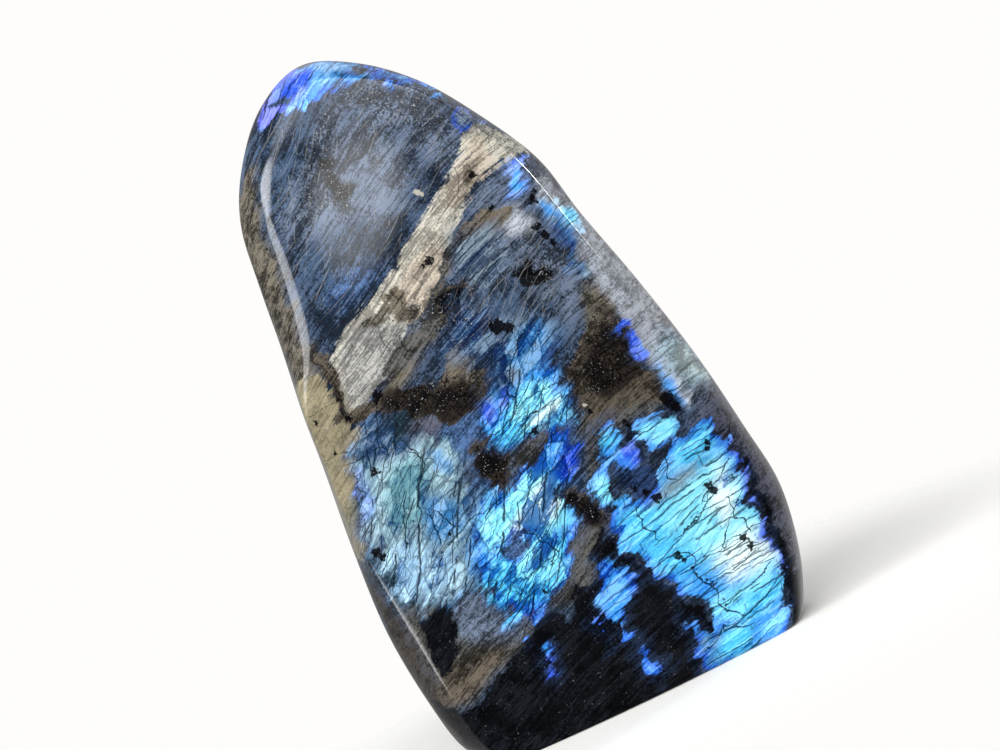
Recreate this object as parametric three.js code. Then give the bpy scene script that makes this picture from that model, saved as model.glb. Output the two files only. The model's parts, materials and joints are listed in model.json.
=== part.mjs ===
// A polished labradorite freeform: one piece of stone, taller than it is wide, sawn flat at the foot.
// Its front and back are ground to shallow domes. A ridge runs round the front, where the dome meets the
// sides: it is crisp on the lower left and the upper right, and rolls over softly everywhere else.
// Millimetres. +Z is up, -Y is the front, and the origin is the middle of the flat foot.

import * as THREE from "three";
import { mergeVertices } from "three/addons/utils/BufferGeometryUtils.js";

// The front and back domes: how deep each is, how high up it is deepest, and the radii it is ground to.
// The front is deepest a little below the foot, so all of it leans back.
const FRONT = { depth: -16, deepestZ: -5, radiusAcross: 95, radiusUp: 700 };
const BACK = { depth: 16, deepestZ: 15, radiusAcross: 66, radiusUp: 560 };

// The stone leans to the left as it rises: how far its middle line has moved, per square millimetre of height
const LEAN = 0.0006;

// The sides: how much each bows out between a ridge and the widest line, where 1 is flat
const FRONT_SIDE_BOW = 1.3;
const BACK_SIDE_BOW = 1.9;

// The back ridge: its inset from the widest line, and how far it is rounded over
const BACK_INSET = 6.2;
const BACK_ROUND = 5;

// The foot: a small bevel eases its edge, and the sides stand square to it up to this height
const FOOT_BEVEL = 0.5;
const SQUARE_TO_FOOT = 8;

// The widest outline seen from the front, from the left end of the foot over the top to the right end.
// Each row is x, z, the front ridge's inset from the outline, and how far that ridge is rounded over.
const OUTLINE = [
  [-29.4, 0, 4.8, 0.5],
  [-31.8, 3.6, 4.9, 0.4],
  [-33.4, 11, 5, 0.35],
  [-34.8, 25.5, 4.7, 0.35],
  [-33.9, 40.5, 2.5, 0.35],
  [-32.2, 56, 1.3, 0.35],
  [-31.4, 65.5, 1.2, 0.9],
  [-30.1, 76, 3.1, 3.7],
  [-29, 87, 4.9, 3],
  [-27.5, 97, 5.1, 2],
  [-23.8, 104.7, 4.2, 2.2],
  [-16, 113.2, 3.3, 3.4],
  [-7, 116.7, 3.5, 3],
  [1.6, 113.2, 3.4, 0.9],
  [9.8, 106, 2.5, 0.35],
  [15.9, 97.3, 2.5, 0.35],
  [22.1, 85.7, 3.6, 0.35],
  [24.3, 75.5, 3.2, 0.35],
  [28.1, 61.2, 3.7, 1.4],
  [31.6, 45, 3.4, 3],
  [33.6, 31, 2.9, 3.7],
  [34.8, 20.5, 3, 4.1],
  [32.8, 8.4, 3, 4],
  [29.5, 0, 2.9, 3.4],
];

// The mesh: squares up each side and across the front, the shares of the outline where its left side ends and
// its right side starts, the points across a rounded ridge, and the least of a side that a round leaves
const ROWS_UP = 46;
const COLUMNS_ACROSS = 28;
const LEFT_SHOULDER = 0.432;
const RIGHT_SHOULDER = 0.585;
const RIDGE_POINTS = [0.34, 0.66];
const LEAST_SIDE = 0.3;
const OUTLINE_MEASURES = 2000;
const MERGE_DISTANCE = 1e-3;

const smooth = (t) => t * t * (3 - 2 * t);
const spread = (count, from, to) => Array.from({ length: count }, (_, i) => from + (i / count) * (to - from));

// The point of a dome that is at x and z
function onDome(dome, x, z) {
  const across = x + LEAN * z * z;
  const up = z - dome.deepestZ;
  const rise = (across * across) / (2 * dome.radiusAcross) + (up * up) / (2 * dome.radiusUp);
  return new THREE.Vector3(x, dome.depth - Math.sign(dome.depth) * rise, z);
}

// The outline's points, and the ridge's inset and roundness, as two curves that share their rows
const outline = new THREE.CatmullRomCurve3(OUTLINE.map(([x, z]) => new THREE.Vector3(x, 0, z)));
outline.arcLengthDivisions = OUTLINE_MEASURES;
const ridge = new THREE.CatmullRomCurve3(
  OUTLINE.map(([, , inset, round]) => new THREE.Vector3(inset, round, 0)),
  false,
  "catmullrom",
);

function bezier(start, corner, end, t) {
  const point = start.clone().multiplyScalar((1 - t) * (1 - t));
  return point.addScaledVector(corner, 2 * t * (1 - t)).addScaledVector(end, t * t);
}

// Half of a side's section: out from the widest line, round the ridge and onto the dome.
// inwardBy gives the point that is a distance in from the outline.
function halfSection(inwardBy, dome, inset, round, bow) {
  const foundOnDome = (distance) => {
    const { x, z } = inwardBy(distance);
    return onDome(dome, x, z);
  };
  const corner = foundOnDome(inset);
  const onSide = (share) => inwardBy(inset * share ** bow).setY(corner.y * share);
  const sideShare = Math.max(LEAST_SIDE, 1 - round / Math.abs(corner.y));
  const sideEnd = onSide(sideShare);
  const domeEnd = foundOnDome(inset + round);
  const rounded = RIDGE_POINTS.map((t) => bezier(sideEnd, corner, domeEnd, t));
  return [onSide(sideShare / 2), sideEnd, ...rounded, domeEnd];
}

// The section through the side at a place on the outline, from the front dome to the back dome
function sideSection(place) {
  const widest = outline.getPointAt(place);
  widest.z = Math.max(widest.z, FOOT_BEVEL);
  const along = outline.getTangentAt(place);
  const free = smooth(THREE.MathUtils.clamp((widest.z - FOOT_BEVEL) / SQUARE_TO_FOOT, 0, 1));
  const inward = new THREE.Vector3(along.z, 0, -along.x * free).normalize();
  const inwardBy = (distance) => widest.clone().addScaledVector(inward, distance);
  const { x: inset, y: round } = ridge.getPoint(outline.getUtoTmapping(place));
  return [
    ...halfSection(inwardBy, FRONT, inset, round, FRONT_SIDE_BOW).reverse(),
    widest,
    ...halfSection(inwardBy, BACK, BACK_INSET, BACK_ROUND, BACK_SIDE_BOW),
  ];
}

// Rows of points that fill the space between four edges
function fill(bottom, top, left, right) {
  const columns = bottom.length - 1;
  const rows = left.length - 1;
  return left.map((_, j) =>
    bottom.map((_, i) => {
      const s = i / columns;
      const t = j / rows;
      const point = new THREE.Vector3();
      point.addScaledVector(bottom[i], 1 - t).addScaledVector(top[i], t);
      point.addScaledVector(left[j], 1 - s).addScaledVector(right[j], s);
      point.addScaledVector(bottom[0], -(1 - s) * (1 - t)).addScaledVector(bottom[columns], -s * (1 - t));
      return point.addScaledVector(top[0], -(1 - s) * t).addScaledVector(top[columns], -s * t);
    }),
  );
}

// A dome's face inside the ridge, with its edge on the ends of the side sections
function domeFace(dome, edge) {
  const left = edge.slice(0, ROWS_UP + 1);
  const top = edge.slice(ROWS_UP, ROWS_UP + COLUMNS_ACROSS + 1);
  const right = edge.slice(ROWS_UP + COLUMNS_ACROSS).reverse();
  const footXs = [...spread(COLUMNS_ACROSS, left[0].x, right[0].x), right[0].x];
  const bottom = footXs.map((x) => onDome(dome, x, FOOT_BEVEL));
  return fill(bottom, top, left, right).map((row) => row.map(({ x, z }) => onDome(dome, x, z)));
}

// The foot's edge below a row of points: down to the ground and in by the bevel
function footEdge(row) {
  return row.map((point) => {
    const inset = FOOT_BEVEL / Math.hypot(point.x, point.y);
    return new THREE.Vector3(point.x * (1 - inset), point.y * (1 - inset), 0);
  });
}

// A grid's triangles. Seen from outside the stone its rows run upwards and its columns to the right,
// unless it is mirrored
function triangles(rows, mirrored) {
  const corners = [];
  for (let j = 0; j + 1 < rows.length; j++) {
    for (let i = 0; i + 1 < rows[j].length; i++) {
      const square = [rows[j][i], rows[j][i + 1], rows[j + 1][i + 1], rows[j + 1][i]];
      const [a, b, c, d] = mirrored ? square.reverse() : square;
      corners.push(a, b, c, a, c, d);
    }
  }
  return corners;
}

function stoneGeometry() {
  const places = [
    ...spread(ROWS_UP, 0, LEFT_SHOULDER),
    ...spread(COLUMNS_ACROSS, LEFT_SHOULDER, RIGHT_SHOULDER),
    ...spread(ROWS_UP, RIGHT_SHOULDER, 1),
    1,
  ];
  const sections = places.map(sideSection);
  const front = domeFace(FRONT, sections.map((section) => section.at(0)));
  const back = domeFace(BACK, sections.map((section) => section.at(-1)));

  const lowest = { front: front[0], back: back[0], left: sections.at(0), right: sections.at(-1) };
  const foot = {
    front: footEdge(lowest.front),
    back: footEdge(lowest.back),
    left: footEdge(lowest.left),
    right: footEdge(lowest.right),
  };
  const corners = [
    ...triangles(front, false),
    ...triangles(back, true),
    ...triangles(sections, true),
    ...triangles([foot.front, lowest.front], false),
    ...triangles([foot.back, lowest.back], true),
    ...triangles([foot.left, lowest.left], true),
    ...triangles([foot.right, lowest.right], false),
    ...triangles(fill(foot.front, foot.back, foot.left, foot.right), true),
  ];

  const geometry = mergeVertices(new THREE.BufferGeometry().setFromPoints(corners), MERGE_DISTANCE);
  geometry.computeBoundingBox();
  const middle = geometry.boundingBox.getCenter(new THREE.Vector3());
  return geometry.translate(-middle.x, -middle.y, -geometry.boundingBox.min.z);
}

const stone = new THREE.Mesh(
  stoneGeometry(),
  new THREE.MeshStandardMaterial({ color: 0x2f3f52, roughness: 0.08, metalness: 0 }),
);
stone.name = "polished_labradorite";

const group = new THREE.Group();
group.add(stone);

export default group;
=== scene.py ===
import json
import math

import bpy
import numpy as np
from mathutils import Matrix, Quaternion, Vector, noise

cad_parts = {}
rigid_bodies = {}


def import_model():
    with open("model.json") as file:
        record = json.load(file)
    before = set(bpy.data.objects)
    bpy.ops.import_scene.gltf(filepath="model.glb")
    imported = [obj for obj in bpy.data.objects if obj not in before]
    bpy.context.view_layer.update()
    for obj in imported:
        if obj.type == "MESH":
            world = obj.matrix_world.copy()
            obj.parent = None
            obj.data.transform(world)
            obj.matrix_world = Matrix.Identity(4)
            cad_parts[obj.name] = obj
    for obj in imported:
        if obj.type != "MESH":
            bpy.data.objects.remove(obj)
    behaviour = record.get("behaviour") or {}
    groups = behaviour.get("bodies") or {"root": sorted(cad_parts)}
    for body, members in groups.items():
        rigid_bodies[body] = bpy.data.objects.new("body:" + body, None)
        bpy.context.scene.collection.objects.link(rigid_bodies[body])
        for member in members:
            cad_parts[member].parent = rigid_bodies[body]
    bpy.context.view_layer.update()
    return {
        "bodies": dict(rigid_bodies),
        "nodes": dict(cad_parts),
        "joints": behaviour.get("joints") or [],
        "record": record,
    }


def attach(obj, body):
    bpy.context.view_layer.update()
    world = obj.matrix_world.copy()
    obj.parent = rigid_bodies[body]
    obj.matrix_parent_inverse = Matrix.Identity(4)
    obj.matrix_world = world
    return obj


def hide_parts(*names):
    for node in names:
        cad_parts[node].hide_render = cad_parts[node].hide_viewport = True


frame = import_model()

bl_info = {
    "name": "Polished Labradorite",
    "version": (1, 0, 0),
    "blender": (4, 5, 0),
    "location": "View3D > Sidebar > Labradorite",
    "description": "A standing freeform of polished labradorite, on a plain pale surface",
    "category": "Object",
}

# The part as it was modelled
STONE_NODE = "polished_labradorite"

MM = 0.001
TINY = 1e-9

# The front dome that the solid has, in millimetres: its depth, the height where it is deepest, the radii
# that it is ground to, and how far its middle line moves to the left per square millimetre of height
FRONT_DEPTH = 16
FRONT_DEEPEST_Z = -5
FRONT_RADIUS_ACROSS = 95
FRONT_RADIUS_UP = 700
LEAN = 0.0006

# Two of the solid's triangles are joined to a square up to these angles, between them and at its corners
FLATTEST_FOLD = math.radians(40)
WORST_CORNER = math.radians(89)

# The stone's zones are laid out on its front as flat areas, in millimetres: x to the right and z up from the
# foot. Each area is a colour of StoneColours, how softly its edge fades, and its corners in order.

# The feldspar under everything else. Each area is laid over the ones before it.
GROUND = (
    ("slate", 4.0, ((-30, 118), (20, 118), (30, 60), (0, 56), (-30, 70))),
    ("steel", 4.0, ((-20, 100), (-8, 104), (6, 104), (4, 92), (-8, 84), (-20, 86))),
    ("night", 3.0, ((-21, 110), (-9, 112), (-7, 107), (-15, 98), (-22, 92))),
    ("night", 3.0, ((-22, 88), (-12, 90), (-2, 84), (-8, 78), (-23, 74))),
    ("lake", 2.0, ((-20, 80), (-12, 82), (-7, 80), (-12, 78), (-20, 75))),
    ("steel", 1.5, ((-17, 93), (-13, 100), (-5, 110), (-2, 109), (-8, 101), (-13, 93))),
    ("moss", 1.5, ((-29, 104), (-20, 106), (-23, 96), (-24.5, 84), (-25.5, 74), (-32, 72))),
    ("steel", 2.0, ((0, 111), (8, 108), (14, 98), (12, 91), (6, 90), (4, 98), (-4, 108))),
    ("slate", 2.0, ((-13, 66), (-4, 70), (0, 66), (-8, 62))),
    ("moss", 1.2, ((-19, 61), (-10, 68), (-3, 74), (4, 80), (8, 79), (0, 72), (-8, 65.4), (-15, 60))),
    ("steel", 1.0, ((-12, 66), (-6, 70.6), (0, 74.6), (3, 75), (2, 73), (-5, 68), (-11, 64))),
    ("steel", 1.5, ((8, 84), (16, 87), (22, 84), (24, 76), (16, 72), (9, 76))),
    ("haze", 1.2, ((10, 79), (15, 80), (17, 76), (12, 74))),
    ("steel", 2.5, ((3, 77), (10, 76), (15, 72), (20, 68), (18, 60), (8, 56), (0, 59), (-4, 62), (-1, 69))),
    ("night", 2.0, ((-6, 66), (-1, 72), (6, 70), (12, 66), (14, 60), (10, 52), (4, 52), (-6, 55), (-8, 60))),
    ("dusk", 1.0, ((-4, 67), (0, 68), (3, 65), (0, 61), (-4, 62))),
    ("slate", 1.2, ((6, 70), (12, 70), (14, 65), (8, 66))),
    ("slate", 1.5, ((2, 77), (9, 77), (9, 71), (2, 71))),
    ("moss", 1.5, ((-32, 75), (-25, 75), (-24, 70), (-30, 66))),
    ("olive", 1.5, ((-33, 56), (-25.5, 55.5), (-28, 49), (-29.5, 42), (-34, 38))),
    ("moss", 1.0, ((15, 57), (20, 66), (23, 70), (23.5, 62), (21.5, 56))),
    ("smoke", 1.5, ((5, 38), (9, 47), (22, 47), (24, 42), (16, 40), (10, 40), (8, 33))),
    ("haze", 1.0, ((17.5, 83), (24, 80), (28, 67), (33, 50), (36, 38), (29, 39), (24, 43), (22.5, 54),
                   (21, 66))),
    ("mist_sheen", 2.5, ((24.6, 48), (30, 53), (33, 44), (30, 40), (25, 42))),
    # Frost at the right rim: a painted reflection that brightens the pale grey-blue where the surface turns
    # from the lights
    ("frost", 2.5, ((26, 49), (30.4, 49), (32, 43), (27, 42))),
    ("steel", 3.0, ((26, 41), (34, 42), (36, 36), (27, 34))),
    ("teal", 2.0, ((-31, 28), (-31, 44), (-25, 56), (-18, 58), (-12, 54), (-6, 50), (-7, 40), (-14, 33),
                   (-15, 24))),
    ("dusk", 1.2, ((-30, 47), (-26, 45), (-26, 37), (-30, 37))),
    ("dusk", 1.2, ((-18, 54), (-15, 56), (-10, 54), (-11, 50.5), (-16, 50))),
    ("lake", 1.5, ((-10, 56), (0, 58), (9, 52), (8, 40), (2, 30), (-14, 20), (-18, 26), (-16, 36))),
    ("smoke", 1.5, ((-5, 45), (6, 47), (5, 42), (-4, 40))),
    ("smoke", 1.5, ((-31, 30), (-24, 28), (-12, 25), (-8, 20), (-16, 15), (-30, 11))),
    ("steel", 1.5, ((-22, 29), (-13, 27), (-9, 21), (-15, 18), (-24, 20))),
    ("umber", 1.5, ((-31, 17), (-20, 18.5), (-15, 17), (-24, 12), (-32, 10))),
    ("smoke", 1.2, ((-9, 24), (-2, 28), (3, 30), (5, 27), (1, 20), (-6, 18))),
    ("dusk", 2.6, ((26.6, 36), (31, 41), (36, 40), (36, 10), (31, -1), (26.5, 3), (28, 10), (28.8, 20),
                   (29.3, 28))),
    ("rust", 2.5, ((-40, 30), (-31, 34), (-30, 20), (-29.5, 8), (-26, -4), (-40, -4))),
)

# Patches with streaky borders, most of them pale: the colour and the corners of each
PALES = (
    ("ash", ((-25, 70), (-13, 76), (-2, 82), (9, 90), (14, 96), (21, 92), (17, 88), (10, 85), (3, 79),
             (-3, 74), (-10, 69), (-18, 62), (-25, 60))),
    ("mist", ((-22, 70), (-14, 73), (-9, 69), (-16, 63), (-22, 62))),
    ("sand", ((4, 85), (12, 91), (15, 93), (16, 88), (8, 83))),
    ("sand", ((-9, 75), (-2, 79), (2, 79), (-2, 74), (-9, 69))),
    ("ash", ((14, 96), (20, 93), (20, 87), (16, 87))),
    ("olive", ((-33, 68), (-26, 70), (-24.6, 64), (-22.6, 58), (-25.2, 55.2), (-33, 55.5))),
    ("steel", ((-15.5, 94), (-10.5, 101), (-5, 108.5), (-4, 108), (-9, 100), (-14, 93))),
)

# Patches with crumbly borders, most of them dark and brown: the colour and the corners of each
CRUSTS = (
    ("bark", ((4, 80), (10, 81.5), (14, 80), (12, 77), (6, 76.5))),
    ("bark", ((-11.6, 75.8), (-8.2, 77), (-7.4, 73.4), (-8.2, 69.4), (-9.6, 69.6), (-9.8, 72.6))),
    ("moss", ((-16.6, 73), (-13.4, 73.6), (-9.6, 74.4), (-10, 72.8), (-13.4, 71.8), (-16, 71.6))),
    ("bark", ((9.4, 88.6), (11, 89.6), (11.6, 87), (10.6, 85.4), (9.6, 86.4))),
    ("umber", ((-25.2, 73), (-23.6, 73), (-23.2, 66), (-23.4, 59), (-25, 59), (-25.3, 66))),
    ("bark", ((-30, 10), (-26.4, 9.4), (-25.4, 7), (-29, 7))),
    ("umber", ((-26, 62), (-20, 61.6), (-15.6, 61.2), (-12.2, 60.6), (-9.6, 59), (-7.4, 60.6), (-5, 63),
               (-2, 62.4), (-0.8, 59), (-1.2, 56), (-3.4, 53.4), (-7, 52.4), (-10.6, 53.2), (-15.2, 56.2),
               (-19, 58.6), (-26, 59.6))),
    ("bark", ((-5.6, 62), (-2.8, 62.6), (-1.4, 59.6), (-3.6, 57.6), (-6, 58.6))),
    ("smoke", ((-12.6, 66.2), (-6.4, 69.6), (-3, 70.4), (-3, 67.4), (-8, 65), (-12, 64.2))),
    ("umber", ((-9.3, 48.4), (-4.6, 48.8), (-3.8, 45.3), (-4.6, 41.5), (-7, 39.6), (-8.9, 41.5),
               (-8.5, 44))),
    ("slate", ((-13.6, 46), (-10, 46.4), (-8.6, 44.6), (-10.4, 42.4), (-12.6, 42.8))),
    ("umber", ((9.6, 50.7), (12.6, 54.4), (16.3, 57.2), (20.5, 58.6), (22.8, 55), (23.2, 51.5), (21.6, 48.2),
               (23.2, 44.8), (24.4, 42.3), (22.6, 40), (19.7, 43), (16.3, 43.6), (13, 42.3), (10, 45))),
    ("umber", ((0.5, 35.5), (3, 36), (6, 33.5), (7, 30), (5, 27), (2, 30))),
    ("umber", ((-4.6, 69), (-4, 72.6), (0, 73.8), (2.8, 71.8), (2, 68.6), (-1, 67.4))),
    ("smoke", ((-16, 64.4), (-13.6, 67.4), (-10, 68), (-9, 65.4), (-12.6, 63))),
    ("navy", ((11, 34.6), (13.4, 35.6), (15.8, 31.4), (16.4, 28), (14.5, 26.5), (12.3, 29), (11, 31.5))),
    ("smoke", ((-12, 96.4), (-9.4, 96.4), (-8, 93), (-10.4, 91))),
    ("coal", ((-11.8, 95.4), (-10, 96.2), (-9.2, 93.8), (-10.6, 92.4))),
    ("coal", ((-11.6, 98.8), (-10.4, 99.6), (-9.4, 98.4), (-10.6, 97.6))),
    ("soot", ((-19, 60.4), (-14, 61.2), (-11, 59.2), (-8, 57.8), (-5, 58), (-3.4, 55.6), (-5, 53), (-9, 53),
              (-13, 55), (-17, 58))),
    ("soot", ((-8.8, 46.8), (-5.6, 47.4), (-4.8, 44.4), (-6, 40.6), (-8, 42))),
    ("soot", ((12.8, 49.4), (15, 53.6), (20.6, 55.6), (22.4, 51.5), (20.4, 47), (15, 45.8))),
    ("soot", ((1.4, 34.4), (5, 33), (5.8, 28.4), (3.2, 29))),
)

# Black patches with crumbly borders: the corners of each
BLACKS = (
    ((-31, 11), (-26, 10), (-20, 13.2), (-13.5, 16.6), (-12, 19), (-8, 20), (-6.4, 16), (-4.6, 17), (-4, 22),
     (-1, 19.5), (1.5, 22.5), (3.4, 28), (5.2, 26.6), (6.6, 22), (8.6, 17.6), (10.2, 13.8), (12.4, 11.6),
     (13.8, 9), (14.8, 6.2), (13.2, 5.4), (10.8, 6.8), (9.6, 4), (10.2, 0.6), (10.4, -3), (-34, -3),
     (-34, 9)),
    ((-28, 27.4), (-25, 28), (-22, 27.8), (-21.8, 25.6), (-22.4, 23), (-23.5, 20.5), (-25, 18), (-28.4, 16),
     (-29, 19), (-28.7, 22.6)),
    ((-4, 69), (-3, 72), (1, 73), (1.8, 70.4), (-0.6, 68)),
    ((9.4, 70), (13, 71), (15.6, 67), (13, 65.2), (10.4, 66.8)),
    ((29.2, 31), (30.2, 26), (30.4, 10), (29.6, 0), (26, -2), (26.4, 4), (28.2, 10), (28.8, 20)),
    ((14.6, 36), (15.2, 41.4), (16.2, 41.4), (16.4, 35), (15.4, 33.6)),
    ((21.4, 40.4), (23.2, 42.2), (24.4, 40.4), (24, 38.2), (22.8, 38.6)),
    ((12.6, 29.6), (13.6, 30), (15, 27.6), (14.4, 26.4), (13, 27.6)),
)

# The colours that the flashes show, painted as a sheen. Each area is laid over the ones before it.
SHEEN = (
    ("azure", 3.0, ((-34, -2), (36, -2), (36, 60), (-34, 60))),
    ("teal_sheen", 2.0, ((-32, 30), (-31, 48), (-25, 58), (-16, 58), (-9, 52), (-8, 42), (-16, 34),
                         (-16, 26))),
    ("moss_sheen", 1.2, ((-25, 47), (-19, 52), (-15, 48), (-20, 41), (-26, 40))),
    ("deep_sheen", 1.2, ((-26, 58), (-17, 59), (-13, 54), (-19, 50.5), (-25, 52))),
    ("mist_sheen", 1.5, ((-31, 38), (-22, 38), (-17, 32), (-22, 27), (-31, 28))),
    ("lake_sheen", 1.5, ((-21, 42), (-15, 44), (-13, 37), (-20, 36))),
    ("lake_sheen", 1.0, ((-15, 50), (-13, 50.4), (-12.4, 46.5), (-14.4, 46))),
    ("sky", 1.5, ((-4, 52), (3, 55), (8, 52), (6, 44), (-5, 46))),
    ("deep_sheen", 2.5, ((-7, 56), (2, 62), (12, 60), (12, 57), (4, 57), (-4, 53.6))),
    ("azure", 1.5, ((-6, 53), (2, 57), (9, 56), (8, 50), (2, 52), (-4, 49))),
    ("ice", 1.5, ((-13, 36), (-8, 41), (2, 40), (1, 34), (-8, 31), (-13, 32))),
    ("sky", 1.5, ((-15, 30), (-4, 32), (0, 27), (-6, 21), (-14, 22))),
    ("sky", 1.2, ((-18, 28), (-13, 29), (-11, 22), (-16, 20))),
    ("azure", 0.8, ((-9.6, 39.6), (-6, 40.4), (-6, 38), (-9, 37))),
    ("ice", 1.2, ((-6, 35), (0.6, 37.6), (2, 34), (0.6, 30), (-4.6, 30))),
    ("frost", 0.8, ((-4.4, 34.6), (0.4, 36.4), (0.8, 33.4), (-3.6, 31.8))),
    ("frost", 0.9, ((-9.4, 32.6), (-4, 36.6), (0.4, 38.8), (1, 37.4), (-3, 34.6), (-8, 31.6))),
    ("ice", 1.2, ((-11, 29), (-4, 30), (-3, 25), (-9, 24))),
    ("azure", 1.0, ((0, 43.4), (6, 46), (7.6, 43), (1.4, 40.2))),
    ("royal", 1.2, ((2.4, 40.4), (7.8, 42.4), (7.6, 37.6), (2, 36))),
    ("lake_sheen", 1.0, ((-5, 53.6), (0, 57), (8, 58), (9, 55), (1, 53.8), (-4, 52))),
    ("ice", 1.2, ((0, 52.4), (7.6, 53.4), (8.6, 45.6), (-1, 45.6))),
    ("frost", 0.9, ((1.4, 47.4), (6.6, 49.2), (7.4, 47.8), (2, 46))),
    ("deep_sheen", 0.9, ((-1.4, 56.4), (2.6, 57.6), (4, 55.4), (1.6, 53.2), (-1, 53.4))),
    ("royal", 1.0, ((-6, 53), (-3, 54), (-1.6, 52), (-4, 49))),
    ("royal", 0.6, ((-1, 53.6), (0.6, 54), (0.4, 51.4), (-1.6, 51.2))),
    ("azure", 0.8, ((6.4, 53), (8.8, 53), (9, 49), (7, 49))),
    ("ice", 0.8, ((7.4, 46.6), (9.6, 46.6), (9.4, 42), (7.4, 42))),
    ("sky", 3.0, ((6, 30), (18, 31), (20, 18), (10, 14))),
    ("ice", 3.0, ((13, 30), (29, 32), (29, 12), (17, 12))),
    ("frost", 2.0, ((18, 17), (28.5, 17), (28.5, 9.5), (20, 10))),
    ("frost", 2.0, ((22.4, 25), (27, 29), (26.5, 21), (22, 19.6))),
    ("ice", 2.0, ((15, 10), (28, 10), (27, 6), (16, 6))),
    ("sky", 1.2, ((16, 7), (28, 9), (27, 5), (17, 4))),
    ("lake_sheen", 1.5, ((9, 9), (15, 5), (22, 4), (20, -2), (8, -2))),
    ("sky", 1.2, ((13, 4), (20, 4.5), (19, 1), (13, 0))),
    ("azure", 1.2, ((19, 4.5), (28, 5), (28, -1), (20, -1))),
    ("ice", 0.7, ((21, 2.6), (26, 3), (25.5, 1.3), (21.5, 1.2))),
    ("lake_sheen", 1.5, ((11, 29), (19, 31.5), (26, 33), (26, 30), (17, 27))),
    ("teal_sheen", 1.0, ((12, 28.5), (22, 30.5), (22, 28.5), (14, 27))),
    ("sky", 1.5, ((20, 37), (28, 37), (29, 31), (19, 30))),
    ("ice", 1.0, ((16, 40), (24, 39), (22, 35.5), (17.5, 35.5))),
    ("azure", 1.2, ((7, 42), (16, 43), (16, 34), (9, 33))),
    ("sky", 0.8, ((9.8, 42), (14, 42.6), (14, 39), (10.4, 38.4))),
    ("royal", 0.8, ((13.2, 38.4), (16, 39), (16.5, 34), (13.4, 34))),
    ("ice", 0.8, ((7, 35), (10, 35), (10, 31), (7, 31))),
    ("royal", 1.0, ((-15, 18), (-9, 18), (-10, 9), (-15, 9))),
    ("azure", 0.8, ((-13, 16.5), (-10.5, 17), (-10.3, 13.5), (-12, 13.5))),
    ("royal", 1.0, ((-4, 16), (-0.5, 16), (-0.5, 10), (-4, 10))),
    ("dusk_sheen", 1.0, ((14, 88), (20, 88), (20, 79), (14, 79))),
    ("azure", 0.8, ((15, 84.4), (17.6, 85), (17.4, 81.6), (15.6, 81))),
    ("mist_sheen", 1.0, ((16, 80), (24, 80), (25, 64), (17, 64))),
    ("azure", 0.8, ((17.6, 79), (20.2, 78.6), (20.6, 71), (20, 65), (18.4, 66))),
    ("sky", 0.6, ((20.6, 75.4), (23.6, 75.6), (23.6, 73), (21, 72.6))),
    ("royal", 1.0, ((20, 56), (24.5, 56), (24.5, 47), (20, 47))),
    ("haze", 1.5, ((22, 48), (31, 50), (32, 37), (22, 38))),
    ("azure", 1.0, ((22.5, 47), (25, 47), (25.5, 38), (22.5, 40))),
    ("dusk_sheen", 1.0, ((-30, 54), (-26, 54), (-26, 45), (-30, 45))),
    ("deep_sheen", 2.0, ((-8, 82), (20, 82), (22, 59), (4, 59.6), (-8, 57))),
    ("lake_sheen", 1.2, ((3, 60), (9, 62.6), (11, 58.6), (6, 57.4))),
    ("slate", 1.5, ((1, 81), (12, 81), (12, 70), (6, 69), (1, 70))),
    ("lake", 1.2, ((-2, 68), (2, 69.6), (5, 67), (2, 64.6))),
    ("slate", 1.5, ((5, 69), (9, 69), (10, 64), (6, 63))),
    ("royal", 0.6, ((28, 30), (31, 32), (31, 2), (27.6, 4))),
    ("violet", 1.5, ((-20, 116), (-11, 118), (-9, 110), (-18, 106))),
    ("royal", 1.2, ((-15, 118), (-6, 118), (-6, 110), (-13, 111))),
    ("lake_sheen", 1.5, ((-6, 119), (1, 119), (1, 109), (-6, 108))),
    ("lake_sheen", 1.5, ((-3, 119), (16, 112), (16, 101), (-2, 108))),
    ("azure", 1.0, ((7, 109), (13, 108), (14, 101), (8, 102))),
    ("navy", 1.0, ((10, 99), (16, 100), (17, 94), (10, 93))),
)

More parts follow.
